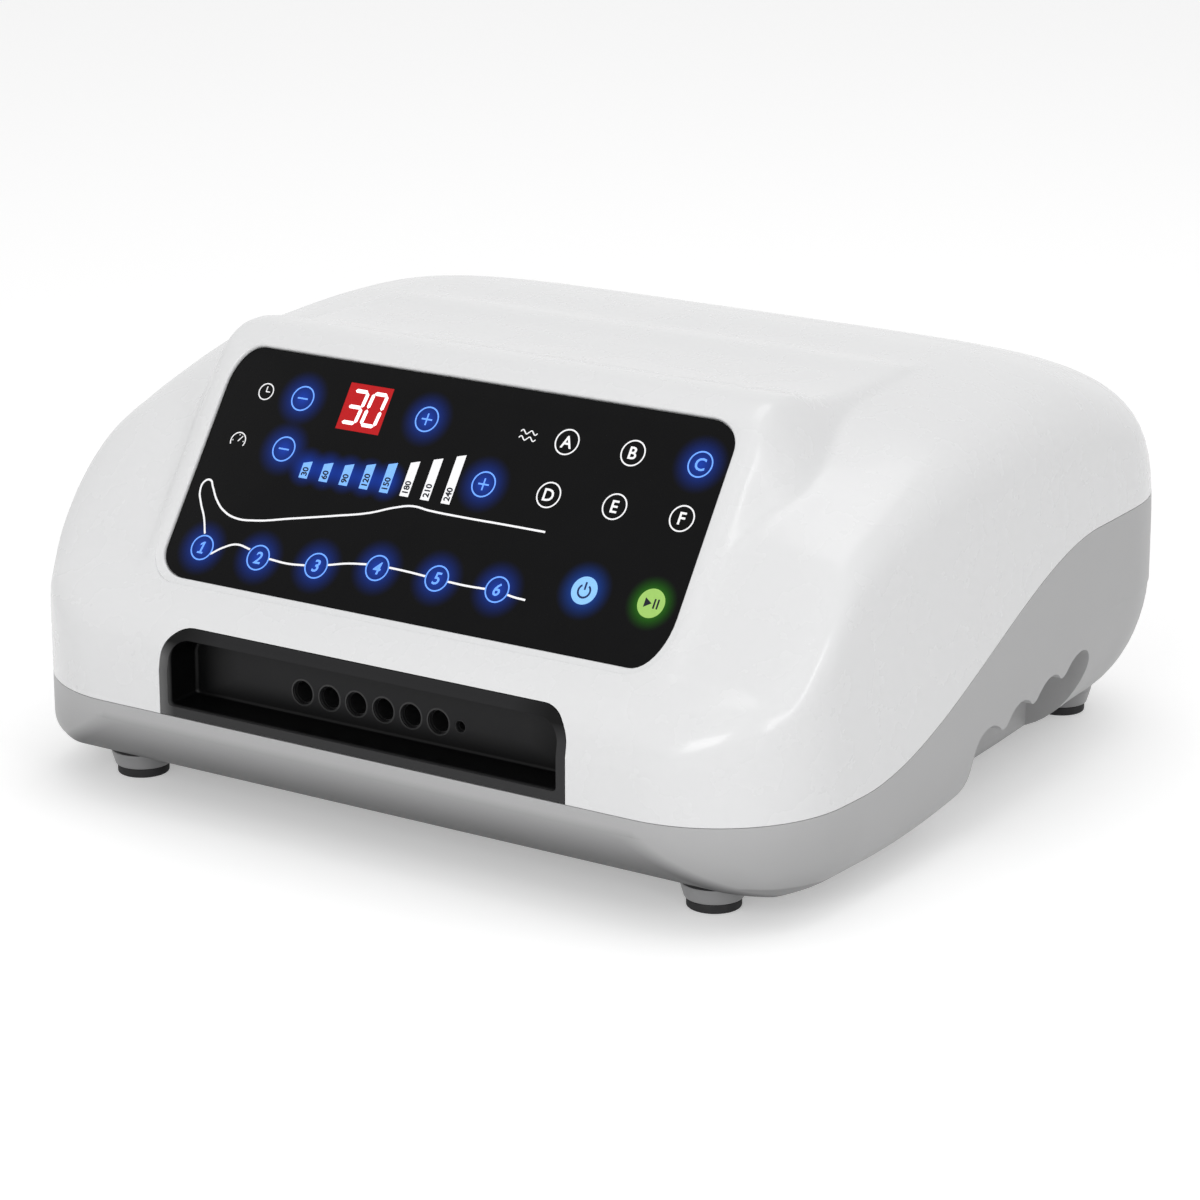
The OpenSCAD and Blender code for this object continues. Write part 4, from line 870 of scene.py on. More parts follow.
class Palette:
    """Every finish of the product, built once."""

    def __init__(self, form: HousingForm) -> None:
        """Builds the finishes."""
        plain = [
            Moulding("gloss_white_shell", (0.80, 0.803, 0.808), 0.27, 0.012, 700, 0.012, 0.2),
            # The base's second colour is its painted shade.
            PaintedShadeLacquer("silver_grey_base", (0.48, 0.48, 0.483), (0.010, 0.010, 0.011),
                          form.scoop[0] - form.half_d, form.scoop, form.underside, form.seam_front),
            # The tray's finish paints shade inside the recess and light on its left wall.
            RecessPlastic("charcoal_tray"),
            Moulding("charcoal_outlet", (0.012, 0.012, 0.0125), 0.3, 0.2, 900, 0.03),
            Moulding("grey_fitting", (0.12, 0.122, 0.126), 0.42, 0.12, 900, 0.04),
            Moulding("foot_grey", (0.34, 0.34, 0.345), 0.34, 0.08, 900, 0.03),
            Moulding("black_fitting", (0.012, 0.012, 0.013), 0.38, 0.3, 1200, 0.04),
            Moulding("switch_grey", (0.05, 0.05, 0.055), 0.5, 0.2),
            Moulding("key_blue", (0.08, 0.22, 0.75), 0.3, 0.1),
            Moulding("key_white", (0.75, 0.76, 0.78), 0.3, 0.05),
            Moulding("key_green", (0.2, 0.55, 0.06), 0.3, 0.1),
            Moulding("board_green", (0.012, 0.10, 0.035), 0.3, 0.4, 300, 0.05, 0.3),
            Moulding("soft_tube", (0.62, 0.64, 0.66), 0.25, 0.06, 500, 0.02, 0.3),
            Moulding("ribbon_grey", (0.36, 0.37, 0.39), 0.45, 0.15),
            Moulding("nylon_white", (0.68, 0.66, 0.60), 0.4, 0.05),
            Moulding("core_lacquer", (0.045, 0.045, 0.05), 0.4, 0.3, 1500, 0.08),
            Moulding("red_window", (0.30, 0.006, 0.006), 0.2, 0.1, 400, 0.01, 0.5),
            Rubber("foot_rubber"),
            Metal("zinc_screw", (0.62, 0.62, 0.63)),
            Metal("pressed_steel", (0.56, 0.56, 0.58), 0.36),
            Metal("motor_can", (0.55, 0.55, 0.57), 0.3, 700),
            Metal("pin_brass", (0.70, 0.62, 0.42), 0.25),
            Windings("copper_winding"),
            Ink("ink_white", (0.88, 0.88, 0.89), 0.25),
            Ink("ink_lit_blue", (0.12, 0.29, 0.80), 0.75),
            Ink("ink_bar_blue", (0.17, 0.38, 0.80), 0.55),
            Ink("ink_power_disc", (0.20, 0.42, 0.72), 0.6),
            Ink("ink_play_disc", (0.27, 0.46, 0.11), 0.5),
            Ink("ink_dark", (0.01, 0.012, 0.02)),
            Ink("ink_navy", (0.012, 0.03, 0.12)),
            Ink("ink_window_red", (0.42, 0.006, 0.008), 0.35),
            Ink("ink_digit", (1.0, 0.93, 0.93), 0.9),
        ]
        self.all: dict[str, bpy.types.Material] = {f.name: f.build() for f in plain}

    def dress(self, obj: bpy.types.Object, name: str) -> None:
        """Gives a whole piece one finish."""
        if obj.material_slots:
            for s in obj.material_slots:
                s.material = self.all[name]
        else:
            obj.data.materials.append(self.all[name])


# Sub-assemblies ------------------------------------------------------------------------


@dataclass
class SubAssembly:
    """A group of pieces that is modelled together."""

    form: HousingForm
    palette: Palette

    def fit(self, obj: bpy.types.Object, finish: str, slot: str, *nodes: str,
            body: str = HOUSING_BODY) -> bpy.types.Object:
        """Finishes a piece: material, body and the nodes that it stands for.

        Args:
            obj: The piece.
            finish: Name of its finish.
            slot: The record's material slot; not used.
            *nodes: CAD nodes that it stands for.
            body: The body that carries it.

        Returns:
            The piece.
        """
        self.palette.dress(obj, finish)
        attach(obj, body)
        if nodes:
            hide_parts(*nodes)
        log.info("%s: %d faces", obj.name, len(obj.data.polygons))
        return obj


@dataclass
class Housing(SubAssembly):
    """Gloss white cover and silver-grey base, parted along an S-shaped line."""

    gap: float = 0.25
    seat_clear: float = 0.3
    ledge: Point2 = (4.0, 6.0)
    rim_round: float = 1.0
    tray_w: float = 177.6
    tray_top: float = 72.0
    tray_corner: float = 12.0
    scallops: int = 4
    scallop_y: float = -15.5
    scallop_pitch: float = 24.5
    scallop_r: float = 12.6
    scallop_z: float = 27.5
    scallop_rise: float = 3.0
    finger_r: float = 4.0
    pocket_x: float = 141.5
    liner: float = 2.4
    foot_x: float = 127.5
    foot_front: float = 34.9
    foot_back: float = 41.7
    rear_z: float = 52.0
    openings: tuple[Point3, ...] = ((72, 27.8, 20.8), (46, 13, 21))
    fuse_x: float = 98.0
    fuse_r: float = 6.0
    cradles: Point2 = (-76.0, -24.0)
    vents: int = 7
    vent_pitch: float = 7.0
    vent_z: float = 55.5
    vent_ends: Point2 = (-28.0, -72.0)
    vent_r: float = 1.6

    def solid(self, inset: float, fine: bool) -> bpy.types.Object:
        """The housing's whole form, at a depth below its outer face."""
        span = self.form.half_d - inset
        rings = [self.form.ring(s * span, inset, fine) for s in self.form.stations(fine)]
        return Bench.loft("housing_form", rings)

    def seam_tool(self, gap: float, above: bool) -> bpy.types.Object:
        """Prism on one side of the parting line.

        Args:
            gap: Distance that the prism keeps from the line.
            above: True for the side above the line.

        Returns:
            The tool.
        """
        sign = 1 if above else -1
        ys = [-230 + 4 * i for i in range(116)]
        line = [(y, self.form.seam_z(y) + sign * gap) for y in ys]
        far = 400 if above else -100
        points = line + [(ys[-1], far), (ys[0], far)]
        return Bench.outline("seam_tool", points, lambda y, z: (-260, y, z), Vector((520, 0, 0)))

    def panel_outline(self, grow: float, steps: int = 10) -> list[Point2]:
        """Outline of the panel with its four corner radii.

        Args:
            grow: Distance outward.
            steps: Facets of a corner.

        Returns:
            The corners, across and up the slope.
        """
        radii = ((12, 11), (12, 20), (12, 11), (11, 17))
        spots = ((-1, 0), (1, 0), (1, 1), (-1, 1))
        w, length = self.form.panel_w / 2, self.form.panel_l
        points = []
        for k, ((rx, ry), (sx, sy)) in enumerate(zip(radii, spots)):
            for i in range(steps + 1):
                a = math.radians(180 + 90 * k + 90 * i / steps)
                points.append((sx * (w - rx) + (rx + grow) * math.cos(a),
                               (length - ry if sy else ry) + (ry + grow) * math.sin(a)))
        return points

    def seat_tool(self) -> bpy.types.Object:
        """Cutter for the panel's seat, with a rounded rim."""
        r, c = self.rim_round, self.seat_clear
        rim = self.form.rim_proud
        levels = [(-self.form.panel_t, c), (rim - r, c)]
        for i in range(1, 6):
            a = math.radians(90 * i / 5)
            levels.append((rim - r + r * math.sin(a), c + r - r * math.cos(a)))
        levels += [(rim + 0.35, c + r + 2.2), (rim + 12, c + r + 4)]
        rings = [[self.form.on_panel(u, v, n) for u, v in self.panel_outline(g)] for n, g in levels]
        return Bench.loft("seat_tool", rings)

    def window_tool(self) -> bpy.types.Object:
        """Cutter for the opening behind the film."""
        w, length = self.form.panel_w / 2 - self.ledge[0], self.form.panel_l
        low, high = self.ledge[1], length - self.ledge[1]
        rect = [(-w, low), (w, low), (w, high), (-w, high)]
        out = Vector((0, self.form.sin, -self.form.cos)) * 30
        return Bench.outline("window_tool", rect, lambda u, v: self.form.on_panel(u, v, 0), out)

    def tray_outline(self, grow: float, low: float) -> list[Point2]:
        """Outline of the outlet recess, across and up."""
        w, r, top = self.tray_w / 2 + grow, self.tray_corner + grow, self.tray_top + grow
        right = arc((w - r, top - r), r, 0, 90, 10)
        return [(-w, low), (w, low)] + right + [(-x, z) for x, z in reversed(right)]

    def cover(self) -> bpy.types.Object:
        """The upper shell."""
        cover = self.solid(0, True)
        Bench.cut(cover, self.seam_tool(-self.gap / 2, False))
        Bench.cut(cover, self.solid(self.form.wall, False))
        ledge = Bench.outline("seat_frame", self.panel_outline(3.5),
                              lambda u, v: self.form.on_panel(u, v, -self.form.panel_t - 2.5),
                              Vector((0, -self.form.sin, self.form.cos)) * 3.2)
        Bench.cut(cover, ledge, Cut.JOIN)
        Bench.cut(cover, self.window_tool())
        Bench.cut(cover, self.seat_tool())
        tray = Bench.outline("tray_tool", self.tray_outline(self.seat_clear, 0),
                             lambda x, z: (x, -190, z), Vector((0, 40, 0)))
        Bench.cut(cover, tray)
        cover.name = "gloss_cover"
        Bench.shade(cover, 28)
        return self.fit(cover, "gloss_white_shell", "cover_white", "top_cover")

    def grip_outline(self, grow: float) -> list[Point2]:
        """Outline of a grip seen from the side: finger scallops with rounded ridges between.

        Args:
            grow: Distance outward, for the liner.

        Returns:
            The corners, along and up.
        """
        big, small = self.scallop_r + grow, self.finger_r - grow
        step = math.hypot(self.scallop_pitch, self.scallop_rise)
        lean = math.atan2(self.scallop_rise, self.scallop_pitch)
        half = math.acos(step / 2 / (big + small))
        points: list[Point2] = [(self.scallop_y - big + 3.2, -20.0)]
        for i in range(self.scallops):
            y, z = self.scallop_y + i * self.scallop_pitch, self.scallop_z + i * self.scallop_rise
            start = math.radians(184) if i == 0 else math.pi - half + lean
            stop = math.radians(-4) if i == self.scallops - 1 else half + lean
            for k in range(17):
                a = start + (stop - start) * k / 16
                points.append((y + big * math.cos(a), z + big * math.sin(a)))
            if i < self.scallops - 1:
                reach = big + small
                cy, cz = y + reach * math.cos(stop), z + reach * math.sin(stop)
                for k in range(1, 8):
                    a = math.pi + stop + (math.pi - 2 * half) * k / 8
                    points.append((cy + small * math.cos(a), cz + small * math.sin(a)))
        points.append((y + big - 3.2, -20.0))
        return points

    def grip_tool(self, side: int, grow: float) -> bpy.types.Object:
        """Cutter for the grip of one side, open at the bottom.

        Args:
            side: 1 for the right side, -1 for the left.
            grow: Distance outward, for the liner.

        Returns:
            The tool.
        """
        x0 = side * (self.pocket_x - grow)
        return Bench.outline("grip_tool", self.grip_outline(grow),
                             lambda y, z: (x0, y, z), Vector((side * 60, 0, 0)))

    def pad(self, x: float, y: float) -> bpy.types.Object:
        """Round pad that carries a foot where the underside curves up."""
        low = self.form.underside
        rings = [[(*p, z) for p in arc((x, y), r, 0, 360, 48, True)]
                 for r, z in ((12.0, low), (12.25, low + 0.25), (12.25, low + 9))]
        return Bench.loft("foot_pad", rings)

    def base(self) -> bpy.types.Object:
        """The lower shell with grips, vents and rear field."""
        base, half, mid = self.solid(0, True), self.form.half_d, self.rear_z
        for x in (-self.foot_x, self.foot_x):
            for y in (self.foot_front - half, half - self.foot_back):
                Bench.cut(base, self.pad(x, y), Cut.JOIN)
        Bench.cut(base, self.seam_tool(-self.gap / 2, True))
        core = self.solid(self.form.wall, False)
        for side in (-1, 1):
            Bench.cut(core, self.grip_tool(side, self.liner))
        Bench.cut(core, Bench.block("field", (33, half - 6.4, 34), (111, half + 9, 70)))
        for x in self.cradles:
            Bench.cut(core, Bench.block("cradle", (x - 4, half - 20.2, 0), (x + 4, half - 5.2, 25.5)))
        Bench.cut(base, core)
        for side in (-1, 1):
            Bench.cut(base, self.grip_tool(side, 0))
        Bench.cut(base, Bench.block("field", (36, half - 2.4, 37), (108, half + 5, 67)))
        for x, w, h in self.openings:
            low, high = (x - w / 2, half - 20, mid - h / 2), (x + w / 2, half, mid + h / 2)
            Bench.cut(base, Bench.block("cut_out", low, high))
        hole = arc((self.fuse_x, mid), self.fuse_r, 0, 360, 36, True)
        Bench.cut(base, Bench.outline("fuse_hole", hole, lambda x, z: (x, half - 20, z), Vector((0, 20, 0))))
        for i in range(self.vents):
            z = self.vent_z + (i - self.vents // 2) * self.vent_pitch
            slot = [p for x, start in zip(self.vent_ends, (-90, 90))
                    for p in arc((x, z), self.vent_r, start, 180, 12)]
            Bench.cut(base, Bench.outline("vent", slot, lambda x, zz: (x, half - 15, zz), Vector((0, 20, 0))))
        base.name = "silver_base"
        Bench.shade(base, 28)
        return self.fit(base, "silver_grey_base", "base_silver", "base_shell")

    def build(self) -> None:
        """Models both shells."""
        self.cover()
        self.base()


@dataclass
class ControlPanel(SubAssembly):
    """Black film with lit keys, a digit window, level bars and a leg pictogram."""

    key_r: float = 5.0
    stroke: float = 0.55
    proud: float = 0.02
    print_t: float = 0.03
    window: Point2 = (19.5, 18.5)
    window_at: Point2 = (-45.9, 75.8)
    glow_blue: Colour = (0.008, 0.05, 0.42)
    minus_plus: tuple[tuple[float, float, str], ...] = (
        (-74.3, 75.7, "minus"), (-17.8, 75.7, "plus"), (-74.5, 55.3, "minus"), (15.3, 55.3, "plus"))
    modes: tuple[tuple[float, float, str], ...] = (
        (43.2, 76.0, "A"), (71.0, 76.0, "B"), (98.8, 76.0, "C"),
        (43.2, 55.6, "D"), (71.0, 55.6, "E"), (98.8, 55.6, "F"))
    chosen_mode: str = "C"
    power_at: Point2 = (70.5, 23.8)
    play_at: Point2 = (98.1, 23.8)
    positions: tuple[tuple[float, float, str], ...] = (
        (-94.4, 12.6, "1"), (-68.4, 12.9, "2"), (-42.3, 14.1, "3"),
        (-16.3, 17.6, "4"), (9.8, 18.0, "5"), (35.8, 18.2, "6"))
    bar_first: float = -63.7
    bar_pitch: float = 9.15
    bar_w: float = 3.8
    bar_foot: float = 45.6
    bar_tops: tuple[float, ...] = (52.5, 53.4, 54.3, 55.8, 57.6, 59.6, 62.2, 64.9)
    lit_bars: int = 5
    slant: float = 0.16
    key_reach: float = 11.5
    digit: Point2 = (6.0, 12.6)
    segment_t: float = 1.45
    icons: tuple[Point2, Point2, Point2] = ((-91.5, 76.0), (-96.0, 55.4), (26.5, 76.0))

    def on_film(self, obj: bpy.types.Object) -> bpy.types.Object:
        """Moves a piece drawn in panel millimetres to its place on the film."""
        Bench.pick(obj)
        obj.data.transform(obj.matrix_world)
        obj.matrix_world = Matrix.Identity(4)
        obj.data.transform(self.form.panel_matrix())
        return obj

    def patch(self, points: Sequence[Point2], thick: Optional[float] = None,
              base: Optional[float] = None) -> bpy.types.Object:
        """A printed patch in panel millimetres.

        Args:
            points: Corners, across and up the slope.
            thick: Thickness of the print.
            base: Height of its underside above the film.

        Returns:
            The patch, on the film.
        """
        t = self.print_t if thick is None else thick
        low = self.proud if base is None else base
        out = Vector((0, -self.form.sin, self.form.cos)) * t
        return Bench.outline("patch", points, lambda u, v: self.form.on_panel(u, v, low), out)

    def disc(self, at: Point2, r: float, base: Optional[float] = None) -> bpy.types.Object:
        """A filled disc on the film."""
        return self.patch(arc(at, r, 0, 360, 60, True), base=base)

    def ring(self, at: Point2, r: float, stroke: float, start: float = 0, sweep: float = 360,
             base: Optional[float] = None) -> bpy.types.Object:
        """A ring or an arc on the film.

        Args:
            at: Its centre.
            r: Outer radius.
            stroke: Width of the line.
            start: Where the arc starts, in degrees.
            sweep: Length of the arc, in degrees.
            base: Height above the film.

        Returns:
            The ring.
        """
        steps, full = max(12, int(sweep / 6)), sweep >= 360
        low = self.proud if base is None else base
        high, inner = low + self.print_t, r - stroke
        lines = [[self.form.on_panel(u, v, z) for u, v in arc(at, radius, start, sweep, steps, full)]
                 for z, radius in ((low, r), (high, r), (high, inner), (low, inner))]
        return Bench.loft("ring" if full else "arc", list(zip(*lines)), closed=full)

    def bar(self, at: Point2, w: float, h: float, base: Optional[float] = None) -> bpy.types.Object:
        """A small rectangle centred on a point of the film."""
        return self.patch(box_outline(at, w, h), base=base)

    def glyph(self, text: str, at: Point2, height: float, turn: float = 0.0, base: Optional[float] = None,
              weight: float = 0.012, lean: float = 0.0) -> bpy.types.Object:
        """A numeral or a letter on the film.

        Args:
            text: What it reads.
            at: Its middle.
            height: Size of the type.
            turn: Turn in degrees.
            base: Height above the film.
            weight: Swelling of the strokes, as a share of the height.
            lean: Slant of the type.

        Returns:
            The glyph.
        """
        Bench.clear()
        low = self.proud if base is None else base
        bpy.ops.object.text_add()
        obj = bpy.context.object
        obj.data.body, obj.data.size = text, height
        obj.data.align_x, obj.data.align_y = "CENTER", "CENTER"
        obj.data.extrude, obj.data.offset, obj.data.shear = self.print_t / 2, weight * height, lean
        obj.data.resolution_u = 3
        bpy.ops.object.convert(target="MESH")
        spans = [[v.co[k] for v in obj.data.vertices] for k in (0, 1)]
        mid = Vector([*((min(span) + max(span)) / 2 for span in spans), 0])
        shift = Matrix.Translation((*at, low + self.print_t / 2))
        obj.data.transform(shift @ Matrix.Rotation(math.radians(turn), 4, "Z") @ Matrix.Translation(-mid))
        obj.data.materials.clear()
        return self.on_film(obj)

    def stroke_line(self, points: Sequence[Point2], width: float) -> bpy.types.Object:
        """A printed line along a smooth path.

        Args:
            points: Points of the path in panel millimetres.
            width: Width of the line.

        Returns:
            The line.
        """
        Bench.clear()
        bpy.ops.curve.primitive_nurbs_path_add()
        obj = bpy.context.object
        obj.data.splines.clear()
        spline = obj.data.splines.new("BEZIER")
        spline.bezier_points.add(len(points) - 1)
        for b, (u, v) in zip(spline.bezier_points, points):
            b.co = (u, v, 0)
            b.handle_left_type = b.handle_right_type = "AUTO"
        obj.data.dimensions = "3D"
        obj.data.resolution_u = 10
        obj.data.bevel_depth, obj.data.bevel_resolution, obj.data.use_fill_caps = width / 2, 3, True
        bpy.ops.object.convert(target="MESH")
        squash = Matrix.Diagonal((1, 1, self.print_t / width, 1))
        obj.data.transform(Matrix.Translation((0, 0, self.proud + self.print_t / 2)) @ squash)
        return self.on_film(obj)

    def key_mark(self, at: Point2, mark: str, stroke: float) -> list[bpy.types.Object]:
        """Ring of a key with its mark."""
        parts = [self.ring(at, self.key_r, stroke)]
        if mark in ("minus", "plus"):
            parts.append(self.bar(at, 4.6, 0.6))
            if mark == "plus":
                parts.append(self.bar(at, 0.6, 4.6, base=self.proud + 0.001))
        elif mark == "1":
            parts.append(self.numeral_one(at))
        else:
            parts.append(self.glyph(mark, at, 6.6, weight=0.016, lean=self.slant if mark.isdigit() else 0.0))
        return parts

    def numeral_one(self, at: Point2) -> bpy.types.Object:
        """A slanted numeral 1 with its flag and foot."""
        shape = [(-1.25, -2.35), (1.25, -2.35), (1.25, -1.65), (0.45, -1.65), (0.45, 2.35), (-0.25, 2.35),
                 (-1.3, 1.55), (-1.3, 0.75), (-0.35, 1.35), (-0.35, -1.65), (-1.25, -1.65)]
        return self.patch([(at[0] + x + self.slant * y, at[1] + y) for x, y in shape])

    def halos(self) -> tuple[Halo, ...]:
        """Places where light spreads under the film."""
        lit = [(u, v) for u, v, _ in self.minus_plus + self.positions]
        lit += [(u, v) for u, v, m in self.modes if m == self.chosen_mode]
        glow = [Halo(self.form.on_panel(u, v, 0), self.key_reach, self.glow_blue) for u, v in lit]
        glow.append(Halo(self.form.on_panel(*self.power_at, 0), self.key_reach, (0.01, 0.09, 0.55)))
        glow.append(Halo(self.form.on_panel(*self.play_at, 0), 10.5, (0.04, 0.34, 0.008)))
        for i in range(self.lit_bars):
            u = self.bar_first + i * self.bar_pitch + self.bar_w / 2
            glow.append(Halo(self.form.on_panel(u, 50, 0), 8.5, (0.004, 0.05, 0.46)))
        return tuple(glow)

    def film(self) -> bpy.types.Object:
        """The film with its window and softly rounded edge."""
        housing = Housing(self.form, self.palette)
        t = self.form.panel_t
        levels = [(-t, 0), (-0.25, 0), (-0.1, -0.05), (-0.03, -0.14), (0, -0.3)]
        rings = [[self.form.on_panel(u, v, n) for u, v in housing.panel_outline(g)] for n, g in levels]
        film = Bench.loft("panel_film", rings)
        rect = box_outline(self.window_at, *self.window)
        push = Vector((0, -self.form.sin, self.form.cos)) * 10
        Bench.cut(film, Bench.outline("opening", rect, lambda a, b: self.form.on_panel(a, b, -5), push))
        Bench.shade(film, 40)
        self.palette.all["black_film"] = PanelFilm("black_film", self.halos()).build()
        return self.fit(film, "black_film", "film_black", "panel_overlay")

    def digits(self) -> None:
        """The red window with two seven-segment digits."""
        u, v = self.window_at
        pane = box_outline(self.window_at, *self.window)
        lens = self.patch(pane, self.form.panel_t - 0.02, -self.form.panel_t)
        lens.name = "digit_window"
        Bench.soften(lens, 0.12, 2)
        self.fit(lens, "ink_window_red", "window_red", "display_window")
        on = {"3": "abcdg", "0": "abcdef"}
        parts = []
        for k, text in enumerate("30"):
            parts += self.seven_segments((u - 4.35 + 8.7 * k, v), on[text])
        digits = Bench.join("digit_segments", parts)
        self.fit(digits, "ink_digit", "window_red")

    def seven_segments(self, at: Point2, lit: str) -> list[bpy.types.Object]:
        """One digit.

        Args:
            at: Its middle.
            lit: Letters of the segments that are lit.

        Returns:
            The segments.
        """
        (w, h), t, lean = self.digit, self.segment_t, 0.10
        spots = {"a": (0, h / 2, True), "g": (0, 0, True), "d": (0, -h / 2, True),
                 "f": (-w / 2, h / 4, False), "b": (w / 2, h / 4, False),
                 "e": (-w / 2, -h / 4, False), "c": (w / 2, -h / 4, False)}
        parts = []
        for name in lit:
            x, y, flat = spots[name]
            length = (w if flat else h / 2) - 0.35
            a, b = length / 2, t / 2
            shape = [(-a, 0), (-a + b, -b), (a - b, -b), (a, 0), (a - b, b), (-a + b, b)]
            if not flat:
                shape = [(-q, p) for p, q in shape]
            points = [(at[0] + x + p + lean * (y + q), at[1] + y + q) for p, q in shape]
            parts.append(self.patch(points))
        return parts

    def legends(self) -> None:
        """Keys, bars and pictograms printed on the film."""
        lit: list[bpy.types.Object] = []
        white: list[bpy.types.Object] = []
        for u, v, mark in self.minus_plus + self.positions:
            lit += self.key_mark((u, v), mark, self.stroke)
        for u, v, mark in self.modes:
            (lit if mark == self.chosen_mode else white).extend(self.key_mark((u, v), mark, self.stroke))
        blue_bars, navy = [], []
        for i, top in enumerate(self.bar_tops):
            u = self.bar_first + i * self.bar_pitch
            end, foot = u + self.bar_w, self.bar_foot
            bar = self.patch([(u, foot), (end, foot), (end, top), (u, top - 1.1)])
            (blue_bars if i < self.lit_bars else white).append(bar)
            middle = (u + self.bar_w / 2, foot + (2.7 if i < 3 else 3.7))
            navy.append(self.glyph(str(30 * (i + 1)), middle, 3.5, 90, self.proud + self.print_t, 0.03))
        clock, gauge, waves = self.icons
        white += self.leg_pictogram() + self.clock_icon(clock)
        white += self.gauge_icon(gauge) + self.wave_icon(waves)
        self.fit(Bench.join("legend_lit", lit), "ink_lit_blue", "key_blue")
        self.fit(Bench.join("legend_white", white), "ink_white", "key_white")
        self.fit(Bench.join("level_bars_lit", blue_bars), "ink_bar_blue", "key_blue")
        self.fit(Bench.join("level_numbers", navy), "ink_dark", "film_black")
        self.round_keys()

    def round_keys(self) -> None:
        """The two filled keys: power, and play or pause."""
        for name, at, grow, slot in (("power_disc", self.power_at, 0.2, "key_blue"),
                                     ("play_disc", self.play_at, 0.4, "key_green")):
            self.fit(Bench.join(name, [self.disc(at, self.key_r + grow)]), f"ink_{name}", slot)
        top = self.proud + self.print_t
        u, v = self.power_at
        power = [self.ring((u, v - 0.2), 2.8, 0.75, 125, 290, top), self.bar((u, v + 1.7), 0.75, 2.9, top)]
        self.fit(Bench.join("power_mark", power), "ink_navy", "film_black")
        u, v = self.play_at
        play = [self.patch([(u - 2.7, v - 1.8), (u + 0.2, v), (u - 2.7, v + 1.8)], base=top),
                self.bar((u + 1.3, v), 0.7, 3.6, top), self.bar((u + 2.7, v), 0.7, 3.6, top)]
        self.fit(Bench.join("play_mark", play), "ink_dark", "film_black")

    def leg_pictogram(self) -> list[bpy.types.Object]:
        """Two plain lines that stand for a stretched leg."""
        upper = [(-95.5, 18.0), (-98.5, 24), (-102.4, 29.5), (-104.6, 33.8), (-104.2, 37.6), (-101.8, 38.6),
                 (-99.6, 36.2), (-96, 31.8), (-91, 28), (-84.5, 26), (-76, 26.4), (-60, 29.8), (-42, 33.8),
                 (-28, 37.2), (-18, 40.9), (-11, 42.6), (-3, 42.1), (12, 41.9), (30, 42), (47, 42)]
        lower = [(-89.8, 10.8), (-85, 14.2), (-80, 16.2), (-73.2, 15.4)]
        joins = [[(-63.4, 13.2), (-55, 12.8), (-47.3, 13.4)], [(-37.4, 15.2), (-29, 17.2), (-21.3, 18.2)],
                 [(-11.4, 18.6), (-3, 18.4), (4.7, 18.0)], [(14.7, 17.6), (23, 17.4), (30.8, 17.6)],
                 [(40.7, 17.0), (44, 16.6), (48.5, 16.4)]]
        return [self.stroke_line(p, 0.8) for p in [upper, lower] + joins]

    def clock_icon(self, at: Point2) -> list[bpy.types.Object]:
        """A clock face for the time keys."""
        u, v = at
        return [self.ring(at, 3.4, 0.45), self.bar((u, v + 1.0), 0.42, 2.2),
                self.bar((u + 0.8, v), 1.8, 0.42, base=self.proud + 0.001)]

    def gauge_icon(self, at: Point2) -> list[bpy.types.Object]:
        """A dial gauge for the pressure keys."""
        u, v = at
        needle = self.patch([(u - 0.3, v - 0.2), (u + 0.3, v - 0.2), (u + 1.75, v + 2.0), (u + 1.5, v + 2.2)])
        ticks = [self.bar(spot, 0.4, 0.4) for spot in arc(at, 2.4, 0, 180, 2)]
        return [self.ring(at, 3.5, 0.45, -30, 240), needle] + ticks

    def wave_icon(self, at: Point2) -> list[bpy.types.Object]:
        """Two waves for the mode keys."""
        u, v = at
        swing = (0, 0.7, 0, -0.7)
        return [self.stroke_line([(u - 3.6 + 0.9 * i, v + dv + swing[i % 4]) for i in range(9)], 0.45)
                for dv in (1.2, -1.2)]

    def build(self) -> None:
        """Models the film, the window and all that is printed."""
        self.film()
        self.digits()
        self.legends()


